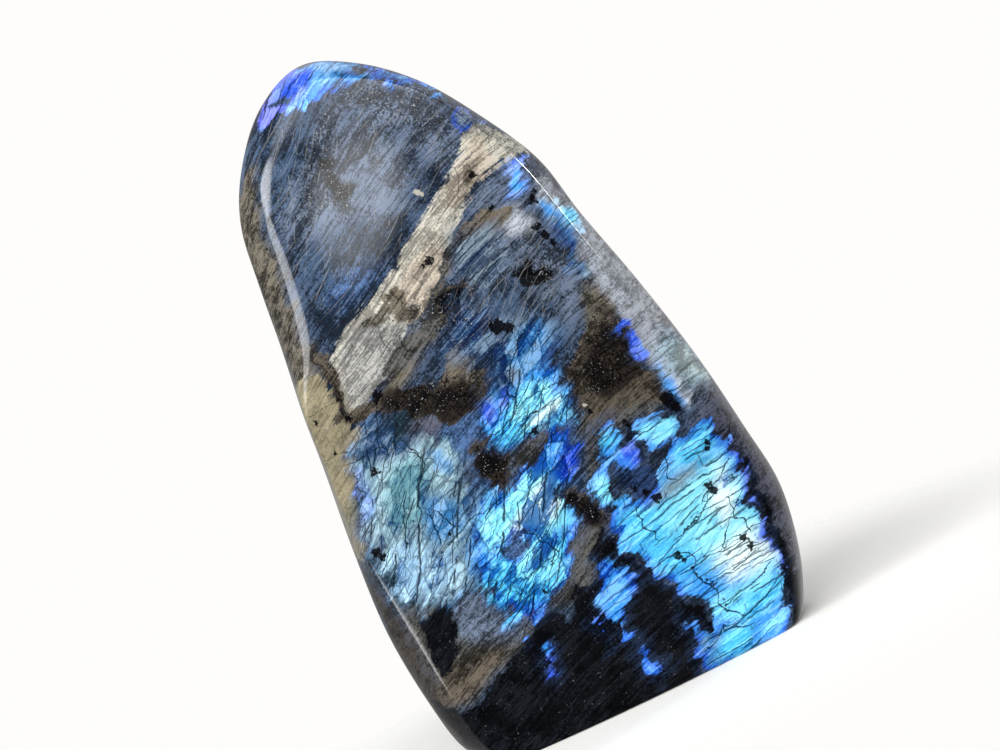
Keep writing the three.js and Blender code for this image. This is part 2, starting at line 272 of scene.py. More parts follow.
# Where the stone flashes: how softly each flash ends, how uneven it is, and its corners
FLASHES = (
    (3.0, 1.5, ((-5, 65), (-1, 70), (3, 68), (5, 64), (9, 63), (12, 60), (8, 53), (2, 51), (-5, 55),
                (-6, 60))),
    (2.0, 1.2, ((2, 78), (6, 80), (10, 78), (10, 73), (6, 70), (2, 72))),
    (2.2, 0.65, ((-29.5, 30), (-30, 38), (-28.5, 46), (-27.5, 52), (-25.5, 56), (-21, 58.5), (-18.6, 55),
                 (-16.4, 51), (-10, 51), (-9.4, 47), (-12.6, 45), (-10, 41), (-10, 36), (-13, 33),
                 (-15.5, 27), (-22, 28.5))),
    (1.6, 0.9, ((-17, 27.4), (-12.6, 27.4), (-10.6, 22), (-15, 20), (-18, 24))),
    (1.5, 1.0, ((-6, 50), (-4, 52.6), (0, 54), (5, 55.4), (9, 54), (8.8, 50), (9, 47.6), (6.8, 44.4),
                (0, 44.6), (-4.6, 45.6))),
    (0.8, 1.1, ((-4.6, 43), (0, 45.6), (5, 46.4), (7.6, 43), (6.4, 39), (4.5, 36), (1, 35.5), (1.5, 31),
                (-1, 28), (-2, 25), (-4, 22), (-9, 19.6), (-12.5, 19.6), (-16.5, 23), (-16, 28), (-15.4, 32),
                (-13, 38), (-9.4, 41.6), (-5, 39.6), (-3, 41.5))),
    (0.6, 0.5, ((-5.4, 30), (-4.6, 35.4), (0.4, 37), (2, 34), (0.8, 29.6), (-2.4, 27))),
    (0.4, 0.9, ((6, 29), (9.5, 30.3), (12.5, 28.2), (16.5, 31), (20, 35), (24, 34.2), (28, 36.2), (29.4, 33),
                (29.4, 28), (28.2, 24), (28.4, 20), (28.2, 14), (28, 10), (27.4, 7), (25.6, 3.6), (23.2, -2),
                (10.2, -2), (9.4, 4), (9.5, 9), (10.6, 9), (12.2, 7), (14, 5.3), (15.4, 6.6), (14.6, 9.6),
                (13.2, 12.6), (10.3, 14.4), (8.8, 18), (7, 22), (5.6, 25))),
    (0.7, 0.9, ((8.6, 37), (9.6, 40.2), (12.4, 42.4), (14.5, 41.6), (14.4, 38.6), (12, 36.6), (9.6, 35.6))),
    (0.6, 0.9, ((11.6, 35.4), (12.4, 38.4), (14.2, 39), (15, 36.6), (14.2, 34))),
    (0.6, 0.8, ((6.3, 31), (7.4, 34.6), (9, 35.6), (9.8, 34), (9.6, 31), (8, 30))),
    (0.5, 0.9, ((16.5, 39.8), (18.2, 40.4), (22.4, 38.6), (23.8, 37.2), (22.4, 35.4), (18, 33.4),
                (17.2, 36))),
    (0.6, 0.8, ((7.4, 42.2), (7.4, 44.4), (9, 46.4), (9.6, 45), (8.8, 42.2))),
    (0.6, 1.2, ((-1.2, 13.6), (1.2, 13), (3.8, 16.2), (5.6, 17.8), (5.4, 20.8), (3.8, 23.6), (1.6, 22.8),
                (0.2, 19.4), (-1.3, 16.2))),
    (0.7, 0.8, ((-12, 16.2), (-10.6, 16.2), (-10.2, 14), (-11.8, 9.6), (-13.3, 10.4), (-12, 13.5))),
    (0.5, 0.8, ((-13.6, 18.2), (-12.4, 18.2), (-12.4, 16.8), (-13.6, 16.8))),
    (0.5, 1.0, ((1.4, 7.4), (3, 7.6), (3.9, 4), (3.6, 2.8), (1.8, 3))),
    (0.4, 0.8, ((-3.8, 14.6), (-2, 15), (-1.4, 12), (-2, 10.8))),
    (0.4, 0.8, ((0.8, 12), (2, 12), (2, 10.6), (1, 10.8))),
    (0.8, 0.8, ((21.2, 56), (22.6, 56.2), (24, 52), (23.4, 48.8), (21.8, 49.5))),
    (1.5, 0.6, ((23.4, 46.8), (25, 47.4), (26.4, 43), (26.6, 38.6), (25, 38.4), (24.2, 42))),
    (1.2, 0.6, ((14.4, 81), (14.8, 84.2), (17.4, 87), (18.6, 85), (17.8, 82), (16.2, 80))),
    (0.5, 0.6, ((17, 86.6), (19.2, 86.6), (18.4, 85.2), (17.2, 85.4))),
    (1.3, 0.7, ((17.6, 75.5), (18.6, 79), (20.4, 77.4), (23.2, 76), (23.6, 72.8), (21.4, 70), (21.4, 65.4),
                (19.8, 64), (18, 68.6))),
    (0.8, 0.6, ((-28.6, 47.6), (-28.2, 51.6), (-27, 51.4), (-27.2, 48))),
    (0.7, 1.1, ((-19, 109), (-17, 113), (-12, 117), (-6, 119), (0, 117), (6, 112), (12, 106.5),
                (13.4, 102.6), (11.4, 101.6), (7.8, 105.6), (2, 109), (-4, 110), (-8, 108.6), (-10, 110.8),
                (-15, 109.6))),
    (0.7, 0.6, ((11, 99), (15, 98), (16, 94.6), (13.4, 93.6), (11.4, 95.6))),
)

# Dark pockets that break the flashes: the corners of each
POCKETS = (
    ((-11, 31.4), (-8.5, 33), (-6.2, 31.8), (-6.6, 29), (-9.5, 28.4)),
    ((-16, 114.2), (-12.6, 113), (-9, 112), (-9.6, 110.6), (-14, 110.4)),
    ((1, 112.6), (3.6, 111.8), (3.2, 110.2), (1.2, 110.6)),
    ((-4, 43.8), (0, 45), (3.2, 45.8), (3.4, 44.8), (0.4, 43.2), (-3.6, 41.6)),
    ((14.7, 41.8), (16.2, 41.8), (16.5, 34.6), (15, 33)),
    ((-10, 64), (-4, 63.6), (-0.6, 60.6), (-0.4, 56.6), (-3, 53.6), (-7, 52.8), (-13, 56)),
    ((-3, 70), (0, 73.4), (2.6, 71.6), (1, 68.6)),
    ((2.4, 64.4), (4, 64.6), (5.8, 62), (4, 61.6)),
    ((-5, 43.4), (-2, 45), (1, 45.4), (-1, 43.6), (-3.4, 42)),
)

# Where the feldspar is crumbly and full of black grains
GRITTY = (
    ((-17, 93), (-13, 100), (-5, 110), (-2, 109), (-8, 101), (-13, 93)),
    ((-20, 60.5), (-12, 62), (-4, 60), (0, 57), (-4, 53), (-12, 55), (-17, 57.5)),
    ((9, 54), (13, 57), (19, 61), (22, 56), (21, 48), (14, 46), (8, 49)),
    ((0.5, 35.5), (3, 36), (6, 33.5), (7, 30), (5, 27), (2, 30)),
    ((-14, 98), (-9, 97), (-7, 91), (-12, 88)),
    ((-7, 109), (2, 110), (10, 103), (12, 94), (6, 98), (-2, 105)),
    ((-11, 72), (-4, 74), (2, 74), (5, 69), (0, 65), (-8, 67)),
    ((12, 71), (16, 72), (19, 67), (14, 64)),
    ((-9, 47), (-6, 49), (-4, 46), (-4, 41), (-7, 41), (-9, 43)),
)

# Where steep cracks break the stone into blocks
BLOCKY = (
    ((-34, 60), (-20, 60), (-4, 60), (10, 60), (10, 40), (4, 20), (-14, 16), (-34, 24)),
)

# Where the feldspar is smooth, with hardly a streak
SMOOTH = (
    ((-35, 70), (-26, 70), (-24, 63), (-25, 56), (-27.5, 52), (-29, 44), (-35, 40)),
)

# Where pale scratches of the silky feldspar show
SILKY = (
    ((-22, 109), (-5, 112), (10, 105), (13, 97), (8, 89), (-12, 78), (-23, 74)),
    ((-6, 70), (8, 80), (20, 80), (22, 66), (14, 60), (-4, 60)),
    ((20, 80), (24, 78), (32, 50), (33, 38), (26, 42), (22, 55)),
)

# Black inclusions: x, z and radius of each, in millimetres
SPECKS = (
    (16.3, 75.2, 0.9), (16.9, 73.4, 0.8), (17.4, 71.9, 0.6), (3.6, 63.4, 1.3), (5.2, 62.4, 0.9),
    (-2.9, 77.3, 0.5), (-1.6, 77.7, 0.8), (-18.3, 61.8, 0.9), (-19, 60.9, 0.5), (-29.3, 62.2, 0.5),
    (-28.5, 56.4, 0.5), (-24, 51, 0.8), (-23.2, 50.6, 0.4), (-29.4, 39.3, 0.8), (-28.7, 38.3, 0.7),
    (1.8, 45.9, 0.7), (10.6, 87.2, 0.7), (13.8, 18.4, 0.7), (14.3, 17.4, 0.5), (15.1, 15.9, 0.3),
    (16.3, 13.2, 0.4), (16.7, 12.2, 0.3), (17.3, 9, 0.25), (25.8, 32.4, 0.6), (25.4, 31.4, 0.5),
    (22.9, 26.2, 0.6), (23.4, 25.2, 0.7), (24.5, 16.4, 0.6), (24.9, 14.6, 0.65), (23, 41.5, 1.1),
    (23.8, 39.6, 0.8), (15.3, 41.2, 0.5), (15.6, 40.2, 0.4), (12.9, 9.4, 0.9), (14.6, 28.2, 0.8),
    (13.4, 29.6, 0.6), (12, 31, 0.5), (-7.6, 22.6, 0.4), (-4.6, 26, 0.3), (-17.2, 37, 0.4), (11, 45, 0.6),
    (4.6, 30.4, 1.0), (2.6, 34, 0.7), (-24.4, 64, 0.5), (-24.1, 60.6, 0.6), (-6.6, 44.4, 1.2),
    (-10, 97, 0.8), (11, 81, 0.5), (17.6, 79.4, 0.8), (18.4, 80.6, 0.5), (2, 111, 0.7),
)

# Pale flecks: x, z and radius of each, in millimetres
FLECKS = ((1.1, 88.7, 0.4), (1.5, 88.3, 0.5), (1.9, 87.8, 0.45), (10.7, 46.2, 0.35), (-19.8, 67, 0.2))

# Long cracks that follow the grain, and cracks that cross it, each as points along it
LONG_CRACKS = (
    ((-6, 48), (-1, 49.6), (5, 51), (10, 51.6)),
    ((-9, 38.6), (-2, 41), (4, 44.2), (10, 46), (17, 46.6), (22, 48.6), (28, 49.6)),
    ((-5, 45.6), (0, 47.8), (7, 49)),
    ((9, 33.6), (14, 32), (19, 33.6), (25, 36.4), (30, 38.6)),
    ((14, 20.6), (19, 23), (23, 25.6), (28, 28.4)),
    ((17.8, 16.1), (22, 15.8), (25.7, 15.3), (28, 13.8)),
    ((15, 5.3), (19.5, 5.3), (22.8, 6.7), (27, 7.8)),
    ((11, 3), (15, 5)),
    ((14.4, 20.6), (19, 22.6), (24, 24.8)),
    ((18, 12.4), (23, 12.8), (27.6, 13.6)),
    ((17.6, 8), (21, 9), (25.4, 9.8)),
    ((20.6, 16.6), (23, 19.2), (28, 23)),
    ((-15.6, 26), (-8, 28.4), (-2, 31.6), (1, 34.6)),
    ((-14, 22.6), (-6, 26.4), (-1, 29)),
    ((-20, 34.6), (-13, 38), (-6, 39)),
    ((-28, 54), (-20, 53.4), (-15, 49)),
    ((-30, 64), (-25.4, 63.8)),
    ((-31, 56.6), (-28.4, 56), (-25.6, 55.4), (-23.8, 57)),
    ((-1, 59.6), (4, 62), (9, 62.6), (13, 66.4)),
    ((10.4, 3.2), (15, 4.4), (20, 3.8)),
    ((-27, 11), (-20, 14.4), (-13, 16.6)),
)
CROSS_CRACKS = (
    ((13.6, 18.8), (15.1, 16.1), (16.5, 12.8), (17.4, 9.9), (17.2, 7), (18, 5.3)),
    ((25.1, 23), (25.5, 20), (25.2, 16.5)),
    ((-25.6, 37), (-23.4, 41), (-21, 45.6)),
    ((-22.6, 38), (-20.4, 42), (-18.2, 46), (-15.8, 50)),
    ((-19.4, 41.4), (-19, 39), (-18.6, 36.4)),
    ((-17.9, 41.6), (-16.9, 39.4), (-16, 37.7)),
    ((-2, 51), (0, 53), (3, 57), (9, 63)),
    ((-18.6, 54.4), (-17.4, 51.6), (-16, 50)),
    ((0.4, 53.6), (1, 50.4)),
    ((17.6, 33.4), (18.4, 29.6)),
    ((-28.4, 52.4), (-27, 49.6)),
    ((16, 59), (12, 56), (9, 55)),
    ((-24.6, 72), (-24.8, 68), (-24, 65), (-24.6, 61.6), (-23.4, 59.6)),
    ((-14.6, 73), (-13.4, 71), (-13.6, 67.6)),
    ((-9.4, 75.6), (-8.2, 72.4), (-8.6, 69)),
    ((7.6, 89.6), (8.6, 86.8), (7.8, 84.4)),
    ((14.4, 94), (15.6, 90.6)),
    ((-11.4, 68.6), (-10.6, 65.6)),
    ((10.6, 28), (11.2, 25), (12, 23)),
    ((-5.8, 32.6), (-4, 29.6), (-3.6, 27)),
)

# How the laid-out zones are bent into natural ones, in millimetres: the seed of all waves, the size and
# reach of broad and of small ones, how long, deep and wide a streak is, and how far the streaks feather a
# zone along the grain
WAVES_SEED = 15
BROAD_WAVES = (6.0, 0.9)
SMALL_WAVES = (1.6, 0.4)
STREAK_SIZE = (14, 8, 1.5)
FEATHERING = 1.6

# On the sides the zones slope down towards the back from a depth on. Past the front dome's edge they also
# wander, in waves that have a size and reach sideways and up.
SLOPE_STARTS = -4
SLOPE = 0.5
SIDE_EDGE = (1.5, 7)
SIDE_WAVES = (8.0, (2.0, 9.0))

# Where the laid-out front gives way to the loose pattern of the back: the depths where it starts and is
# done, and the size, the seed and the reach of the patches that move that border
BACK_EDGE = (1, 7)
BORDER_PATCHES = (12.0, 4.0)
BORDER_REACH = 2

# How deep a place counts in a flash and in a patch, at most, and where a patch takes on its own colour
FLASH_LIMIT = 6
PATCH_LIMIT = 5
PATCH_EDGE = (-1.6, 0.2)

# The stone's textures: the areas that have each one on the front, where its edge starts and ends there, and
# the size and seed of its patches behind, with where their edge starts and ends
TEXTURES = (
    ("grit", GRITTY, (-1.0, 1.5), (16.0, 23.0), (0.25, 0.5)),
    ("blocky", BLOCKY, (-4.0, 2.0), (25.0, 31.0), (0.0, 0.4)),
    ("silky", SILKY, (-2.0, 2.0), (20.0, 37.0), (0.1, 0.4)),
    ("smooth", SMOOTH, (-1.0, 1.5), None, None),
)

# The loose patches of the back: the size and seed of each kind, and how far all are drawn out
BACK_PATCHES = {
    "broad": (16.0, 1.0),
    "small": (7.0, 7.0),
    "hue": (10.0, 11.0),
    "flash": (13.0, 5.0),
    "pale": (8.0, 41.0),
    "crust": (8.0, 47.0),
    "black": (10.0, 53.0),
}
DRAWN_OUT = 0.6
CLOUD_FRACTAL = (1.0, 2.0, 3)

# The feldspar of the back: each colour, the patches that have it at their middles or, with a -1, between
# them, and where its edge starts and ends. The first colour lies under the others.
BACK_BASE = "slate"
BACK_GROUND = (
    ("night", "broad", 1, (0.0, 0.3)),
    ("steel", "small", 1, (0.1, 0.4)),
    ("moss", "broad", -1, (0.2, 0.45)),
    ("smoke", "small", -1, (0.2, 0.45)),
)

# The flashes and dark patches of the back: the level at which each kind begins, how fast it deepens past
# that, the hues between which its colour goes from royal to sky blue, and its flashes' softness and
# unevenness
BACK_LEVELS = {"flash": 0.24, "crust": 0.35, "black": 0.3}
BACK_STEEPNESS = 12
BACK_HUES = (-0.4, 0.5)
BACK_SOFTNESS = 2.4
BACK_UNEVENNESS = 1.2

# The pale band is a layer that runs on through the stone, in millimetres: the height of its middle, its
# rise to the right and its fall towards the back, how much longer it is measured upright than straight
# through, and half its thickness with how uneven that is
LAYER_HEIGHT = 76
LAYER_RISE = 0.55
LAYER_FALL = 0.3
LAYER_SLANT = 1.14
LAYER_HALF = 2.0
LAYER_UNEVENNESS = 4

# The fine patterns inside the stone. The even ones have a frequency per millimetre and a detail, and the
# grained ones a frequency along, into and across the grain, and a detail.
EVEN_PATTERNS = {"patches": (0.45, 4.0), "crumbs": (2.6, 3.0), "regions": (0.15, 3.0)}
GRAINED_PATTERNS = {
    "streaks": ((0.11, 0.5, 1.4), 4.0),
    "sweeps": ((0.05, 0.2, 0.4), 1.0),
    "fibres": ((0.1, 0.9, 4.5), 1.0),
}
HALF = (0.5, 0.5, 0.5)
JITTER = (0.8, 2.0)
DRIFT_DETAIL = 1.0

# The cells that the stone breaks into: the frame that they lie in, their length, depth and height in
# millimetres, and how far their sides are bent
CELLS = {
    "long": ("grain", (8.0, 5.0, 2.2), 0.25),
    "block": ("steep", (4.6, 4.0, 2.6), 0.25),
    "chip": ("steep", (2.4, 2.0, 1.3), 0.3),
}

# What the patterns add up to: the name and weight of each, and the texture that it is kept to, if any
RAGGED_EDGE = (("patches", 2.4), ("streaks", 2.4), ("crumbs", 0.9), ("long", 1.6), ("block", 1.6, "blocky"))
FLASH_GLOW = (
    ("streaks", 1.2), ("fibres", 1.0), ("patches", 0.6), ("long", 0.35), ("block", 0.8, "blocky"),
    ("crumbs", 0.7), ("sweeps", 0.9), ("chip", 0.45, "blocky"), ("patches", 1.2, "blocky"),
)
FEATHERED_EDGE = (("streaks", 4.0), ("crumbs", 0.9), ("patches", 2.0))
CRUMBLY_EDGE = (("patches", 3.4), ("crumbs", 2.6), ("streaks", 1.2))
FELDSPAR_TONE = (
    ("streaks", 1.2), ("patches", 1.0), ("crumbs", 1.3), ("fibres", 1.2), ("fibres", -0.5, "silky"),
    ("crumbs", 3.0, "grit"), ("long", 0.25), ("regions", 1.2),
)

# Where each mask of the stone's material starts and where it is full
MASKS = {
    "block_crack": (0.015, 0.045),
    "block_cracked": (0.4, 0.5),
    "chip_crack": (0.02, 0.06),
    "chip_cracked": (0.46, 0.54),
    "long_side": (0.0, 0.2),
    "block_side": (0.0, 0.22),
    "shaded": (0.35, 0.6),
    "hairline": (0.5, 1.0),
    "laid_crack_end": (0.5, 0.8),
    "flash": (-0.7, 1.0),
    "fringe_ends": (0.3, 2.2),
    "fringed": (0.42, 0.58),
    "too_soft": (0.6, 1.6),
    "lit": (0.0, 0.5),
    "bright": (0.5, 0.9),
    "pale": (-0.3, 0.3),
    "crust": (-0.25, 0.25),
    "black": (-0.2, 0.2),
    "calm": (0.1, 0.35),
    "halo": (-2.6, -0.1),
    "tone": (0.15, 0.85),
    "speck": (-0.05, 0.15),
    "dot": (0.06, 0.12),
    "dotted": (0.86, 0.88),
    "black_grit": (0.5, 0.56),
    "glint": (0.71, 0.74),
    "fleck": (0.0, 0.12),
}

# Thin cracks in sets: the turn from the grain in radians, the spacing, length and width in millimetres, the
# share of the length that is open, a seed, and how strong the set is in plain and in blocky stone
HAIRLINES = (
    (-0.1, 1.0, 7.0, 0.2, 0.6, 3.0, 0.85, 0.65),
    (0.08, 1.4, 8.0, 0.24, 0.6, 23.0, 0.85, 0.65),
    (0.3, 1.3, 6.0, 0.2, 0.58, 41.0, 0.35, 0.95),
    (0.62, 1.7, 4.5, 0.3, 0.62, 57.0, 0.1, 0.95),
    (1.35, 3.0, 2.5, 0.2, 0.35, 73.0, 0.6, 0.6),
)

# Pale scratches in the same form, without a strength, and how far they are bent
SCRATCHES = (
    (0.22, 0.8, 5.0, 0.11, 0.45, 91.0),
    (-0.08, 0.9, 7.0, 0.11, 0.45, 7.0),
    (0.55, 1.3, 3.0, 0.1, 0.35, 31.0),
)
SCRATCH_BEND = 0.1

# A thin crack's line: how much the jitter shakes it, how far apart the noises of two neighbours are, the
# noise that opens it for a share of 0 and for a share of 1, how that edge fades, and how thin the thinnest
# line is
SHAKE = 0.35
NEIGHBOURS_APART = 40
OPEN_NONE, OPEN_ALL = 0.66, 0.34
OPEN_FADE = 0.06
THINNEST = 0.2

# The laid-out cracks: how wide the two kinds are in millimetres, where their dark middle ends, and how far
# their sides are ragged
LAID_CRACK_WIDTHS = {"long": 0.13, "cross": 0.18}
LAID_CRACK_MIDDLE = 0.3
LAID_CRACK_RAGGED = 0.5
BLOCK_CRACK = 0.5

# A flash, whose sheen is painted into the colour: its middle glow, how much the sides of its cells darken it
# in plain and in blocky stone, what its fringe takes off and how blue that is, the colour share that is left
# where it is dim, how much brighter and whiter it is where it is bright, and how dark its cracks are
MIDDLE_GLOW = 0.62
CELL_SHADE = (0.1, 0.4)
FRINGE_DIMMING = 0.2
FRINGE_BLUE = 0.7
DIM = (0.1, 0.22, 0.46)
BRIGHTER = 1.4
WHITER = 0.2
FLASH_CRACK = 0.95

# The feldspar: how much each colour counts for its lightness, how much weaker its tones and cracks are
# where it is smooth, the blue around a flash, its darkest and its lightest tone where it is dark and where
# it is calm and pale, and how strong its scratches and its cracks are
LIGHTNESS = (0.21, 0.72, 0.07)
SMOOTH_TONES = 0.6
SMOOTH_CRACKS = 0.7
HALO = 0.3
DARKEST = (0.3, 0.5)
LIGHTEST = (2.0, 1.45)
SCRATCH = 0.4
FELDSPAR_CRACK = 0.6

# Spots: how often their edges turn per millimetre and in what detail, how spiky the dark and the pale ones
# are, and how strong
SPIKES = (1.6, 4.0)
SPECK_SPIKES = 2.0
FLECK_SPIKES = 0.8
SPECK = 0.96
FLECK = 0.9

# Black dots and grit: how many cells a millimetre has, how much the crumbs roughen the grit, and its
# strength
DOTS = 0.6
GRIT_CRUMBS = 0.6
BLACK_GRIT = 0.8

# Glints, partly pale grains and partly painted sparkle: how often their grains change per millimetre and in
# what detail, how much patches and textures add to them, and how strong they are anywhere, and more so in
# calm, flashing and gritty stone
GLINT_GRAINS = (3.2, 4.0)
GLINT_PATCHES = 0.35
GLINT_GRIT = 0.04
GLINT_SILK = 0.02
GLINT = 0.3
GLINT_CALM = 0.5
GLINT_FLASH = 0.2
GLINT_GRITTY = 0.3

# The surface: the relief of its streaks, the roughness under the polish, how much metal and how much less
# roughness a flash has, the polish's refraction, and how much of a flash's colour is given off as a painted
# glow
RELIEF = {"Strength": 0.3, "Distance": 0.0002}
ROUGHNESS = 0.5
FLASH_METAL = 0.3
FLASH_SMOOTHER = 0.15
POLISH_IOR = 1.42
PAINTED_GLOW = 0.42

# The lights: each one's place in metres, width and height, turn about its own line of sight, and power, and
# the point that all of them face
LIGHTS = (
    ("key_light", (0.05, -0.55, 0.72), 1.2, 0.7, 0, 8.5),
    ("panel_light", (-0.065, -0.618, 0.333), 0.34, 0.09, 0.3, 0.29),
    ("left_light", (-0.48, -0.34, 0.44), 0.46, 0.2, 0, 3.0),
    ("left_low_light", (-0.53, -0.29, 0.29), 0.28, 0.15, 0, 0.85),
    ("left_strip", (-0.60, -0.16, 0.07), 0.25, 0.35, 0, 0.25),
    ("low_card", (-0.42, -0.38, 0.0), 0.14, 0.1, 0, 0.3),
    ("right_light", (0.53, 0.28, 0.285), 0.1, 0.16, 0, 1.1),
    ("top_light", (0.0, 0.40, 0.70), 0.6, 0.6, 0, 0.8),
)
LIGHTS_AIM = Vector((0, 0, 0.055))

# How a light dims towards its edges, from and to a share of its size, and its strength at the middle
LIGHT_EDGE = (0.3, 0.6)
LIGHT_MIDDLE = 1.3

# The room's own light, from in front of the stone to behind it: where it starts and is full, how strong it
# is and what it never falls below, and how it dims to the left and to what share
ROOM_FRONT_TO_BACK = (-0.1, 0.9)
ROOM_LIGHT = 0.4
ROOM_LEAST = 0.03
ROOM_LEFT_TO_RIGHT = (-0.8, 0.1)
ROOM_LEFT = 0.35

FLOOR_ROUGHNESS = 0.8
FLOOR_GLOSS = 0.2
SENSOR_WIDTH = 36
CLIP_START = 0.01


def linear(code):
    """A web colour such as #336699 as the linear colour that shaders use."""
    shares = [int(code[i:i + 2], 16) / 255 for i in (1, 3, 5)]
    return tuple(s / 12.92 if s <= 0.04045 else ((s + 0.055) / 1.055) ** 2.4 for s in shares)


def swatch(name, description, code):
    return bpy.props.FloatVectorProperty(
        name=name, description=description, default=linear(code), subtype="COLOR", size=3, min=0, max=1
    )


class StoneColours(bpy.types.PropertyGroup):
    """The stone's colours, most of them from dark to pale."""

    pitch: swatch("Pitch", "Deepest black of the stone", "#0b0a0d")
    coal: swatch("Coal", "Black feldspar", "#101216")
    soot: swatch("Soot", "Brown-black middles of the granular patches", "#26211d")
    umber: swatch("Umber", "Black-brown granular patches", "#514a41")
    bark: swatch("Bark", "Brown patches", "#625b4f")
    rust: swatch("Rust", "Reddish brown of the lower left side", "#38322d")
    moss: swatch("Moss", "Dark olive feldspar", "#625d53")
    olive: swatch("Olive", "Pale olive feldspar", "#9f967c")
    smoke: swatch("Smoke", "Smoky grey feldspar", "#52524f")
    ash: swatch("Ash", "Pale grey-beige band", "#cac6b9")
    sand: swatch("Sand", "Tan part of the pale band", "#c0b5a5")
    mist: swatch("Mist", "Light grey part of the pale band", "#aeada9")
    slate: swatch("Slate", "Dark blue-grey feldspar", "#3d4b61")
    steel: swatch("Steel", "Steel-blue feldspar", "#5b677a")
    night: swatch("Night", "Navy feldspar of the upper part", "#3a4a60")
    navy: swatch("Navy", "Deep blue feldspar", "#26395c")
    lake: swatch("Lake", "Blue feldspar under the flashes", "#46618a")
    teal: swatch("Teal", "Teal-grey feldspar under the left flash", "#3a5566")
    dusk: swatch("Dusk", "Violet-grey feldspar", "#4d4f5d")
    haze: swatch("Haze", "Pale grey-blue feldspar along the right", "#b9bfca")
    violet: swatch("Violet", "Violet flash", "#5a5cd6")
    royal: swatch("Royal", "Royal-blue flash", "#3059de")
    azure: swatch("Azure", "Azure flash", "#419ef4")
    sky: swatch("Sky", "Sky-blue flash", "#52c6f7")
    ice: swatch("Ice", "Pale cyan flash", "#82e0f8")
    frost: swatch("Frost", "Nearly white flash", "#e2fafd")
    teal_sheen: swatch("Teal flash", "Teal-grey flash on the left", "#7f9fae")
    moss_sheen: swatch("Green flash", "Greenish part of the left flash", "#6393a0")
    lake_sheen: swatch("Lake flash", "Soft blue flash", "#3f80b8")
    mist_sheen: swatch("Mist flash", "Grey-blue flash", "#98bfda")
    deep_sheen: swatch("Deep flash", "Dull blue flash above the middle", "#2c4a70")
    dusk_sheen: swatch("Dusk flash", "Periwinkle flash", "#86a8e6")
    crack: swatch("Crack", "Open cracks in a flash", "#091627")
    # Painted glints: tiny bright specks that stand in for sparkle, partly pale grains
    glint: swatch("Glint", "Tiny bright grains", "#c8ccce")


class StoneFinish(bpy.types.PropertyGroup):
    """The polish, the grain and the mesh."""

    grain_tilt: bpy.props.FloatProperty(
        name="Grain tilt", description="How steeply the grain rises to the right at half height",
        default=math.radians(25), subtype="ANGLE",
    )
    grain_turn: bpy.props.FloatProperty(
        name="Grain turn", description="How much steeper the grain gets per millimetre of height",
        default=math.radians(0.18), subtype="ANGLE",
    )
    grain_fan: bpy.props.FloatProperty(
        name="Grain fan", description="How much flatter the grain gets per millimetre to the right",
        default=math.radians(0.22), subtype="ANGLE",
    )
    half_height: bpy.props.FloatProperty(
        name="Half height", description="Height at which the grain has its own tilt, in millimetres",
        default=58.0,
    )
    steep_tilt: bpy.props.FloatProperty(
        name="Steep tilt", description="How steeply the blocks on the left rise to the right",
        default=math.radians(54), subtype="ANGLE",
    )
    drift: bpy.props.FloatProperty(
        name="Drift", description="How far the grain wanders from straight, in millimetres", default=5.0,
    )
    drift_scale: bpy.props.FloatProperty(
        name="Drift scale", description="How often the grain wanders, per millimetre",
        default=0.045, precision=3,
    )
    polish: bpy.props.FloatProperty(
        name="Polish roughness", description="Roughness of the polished skin", default=0.03, min=0, max=1,
    )
    merge_distance: bpy.props.FloatProperty(
        name="Merge distance", description="Loose corners this close are joined", default=0.00001,
        unit="LENGTH", precision=6,
    )
    smoothing: bpy.props.IntProperty(
        name="Smoothing", description="Levels of subdivision on the stone", default=2, min=0, max=3,
    )


class StageSettings(bpy.types.PropertyGroup):
    """Where the camera and the floor are."""

    camera_distance: bpy.props.FloatProperty(
        name="Camera distance", description="From the camera to the middle of the stone", default=0.33,
        unit="LENGTH",
    )
    camera_right: bpy.props.FloatProperty(
        name="Camera to the right", description="How far right of the stone's middle the camera looks",
        default=0.0007, unit="LENGTH", precision=4,
    )
    camera_height: bpy.props.FloatProperty(
        name="Camera height", description="Height of the camera above the floor", default=0.0563,
        unit="LENGTH", precision=4,
    )
    camera_roll: bpy.props.FloatProperty(
        name="Camera roll", description="How far the camera is rolled, so that the stone leans to the left",
        default=math.radians(25.6), subtype="ANGLE",
    )
    lens: bpy.props.FloatProperty(
        name="Lens", description="Focal length of the camera", default=72, unit="CAMERA",
    )
    floor_size: bpy.props.FloatProperty(
        name="Floor size", description="Side of the square floor", default=3, unit="LENGTH",
    )
    floor_middle: bpy.props.FloatProperty(
        name="Floor middle", description="How far behind the stone's middle the floor's fade is centred",
        default=0.02, unit="LENGTH",
    )
    floor_fade_start: bpy.props.FloatProperty(
        name="Fade start", description="Where the floor starts to fade into the backdrop", default=0.045,
        unit="LENGTH",
    )
    floor_fade_end: bpy.props.FloatProperty(
        name="Fade end", description="Where the floor has faded into the backdrop", default=0.10,
        unit="LENGTH",
    )
    floor_colour: swatch("Floor colour", "Colour of the floor", "#f4f3ef")
    backdrop: swatch("Backdrop", "What the camera sees behind the floor", "#fefdfb")


def is_vector(value):
    return isinstance(value, tuple) or isinstance(value, Wire) and value.socket.type in ("VECTOR", "RGBA")


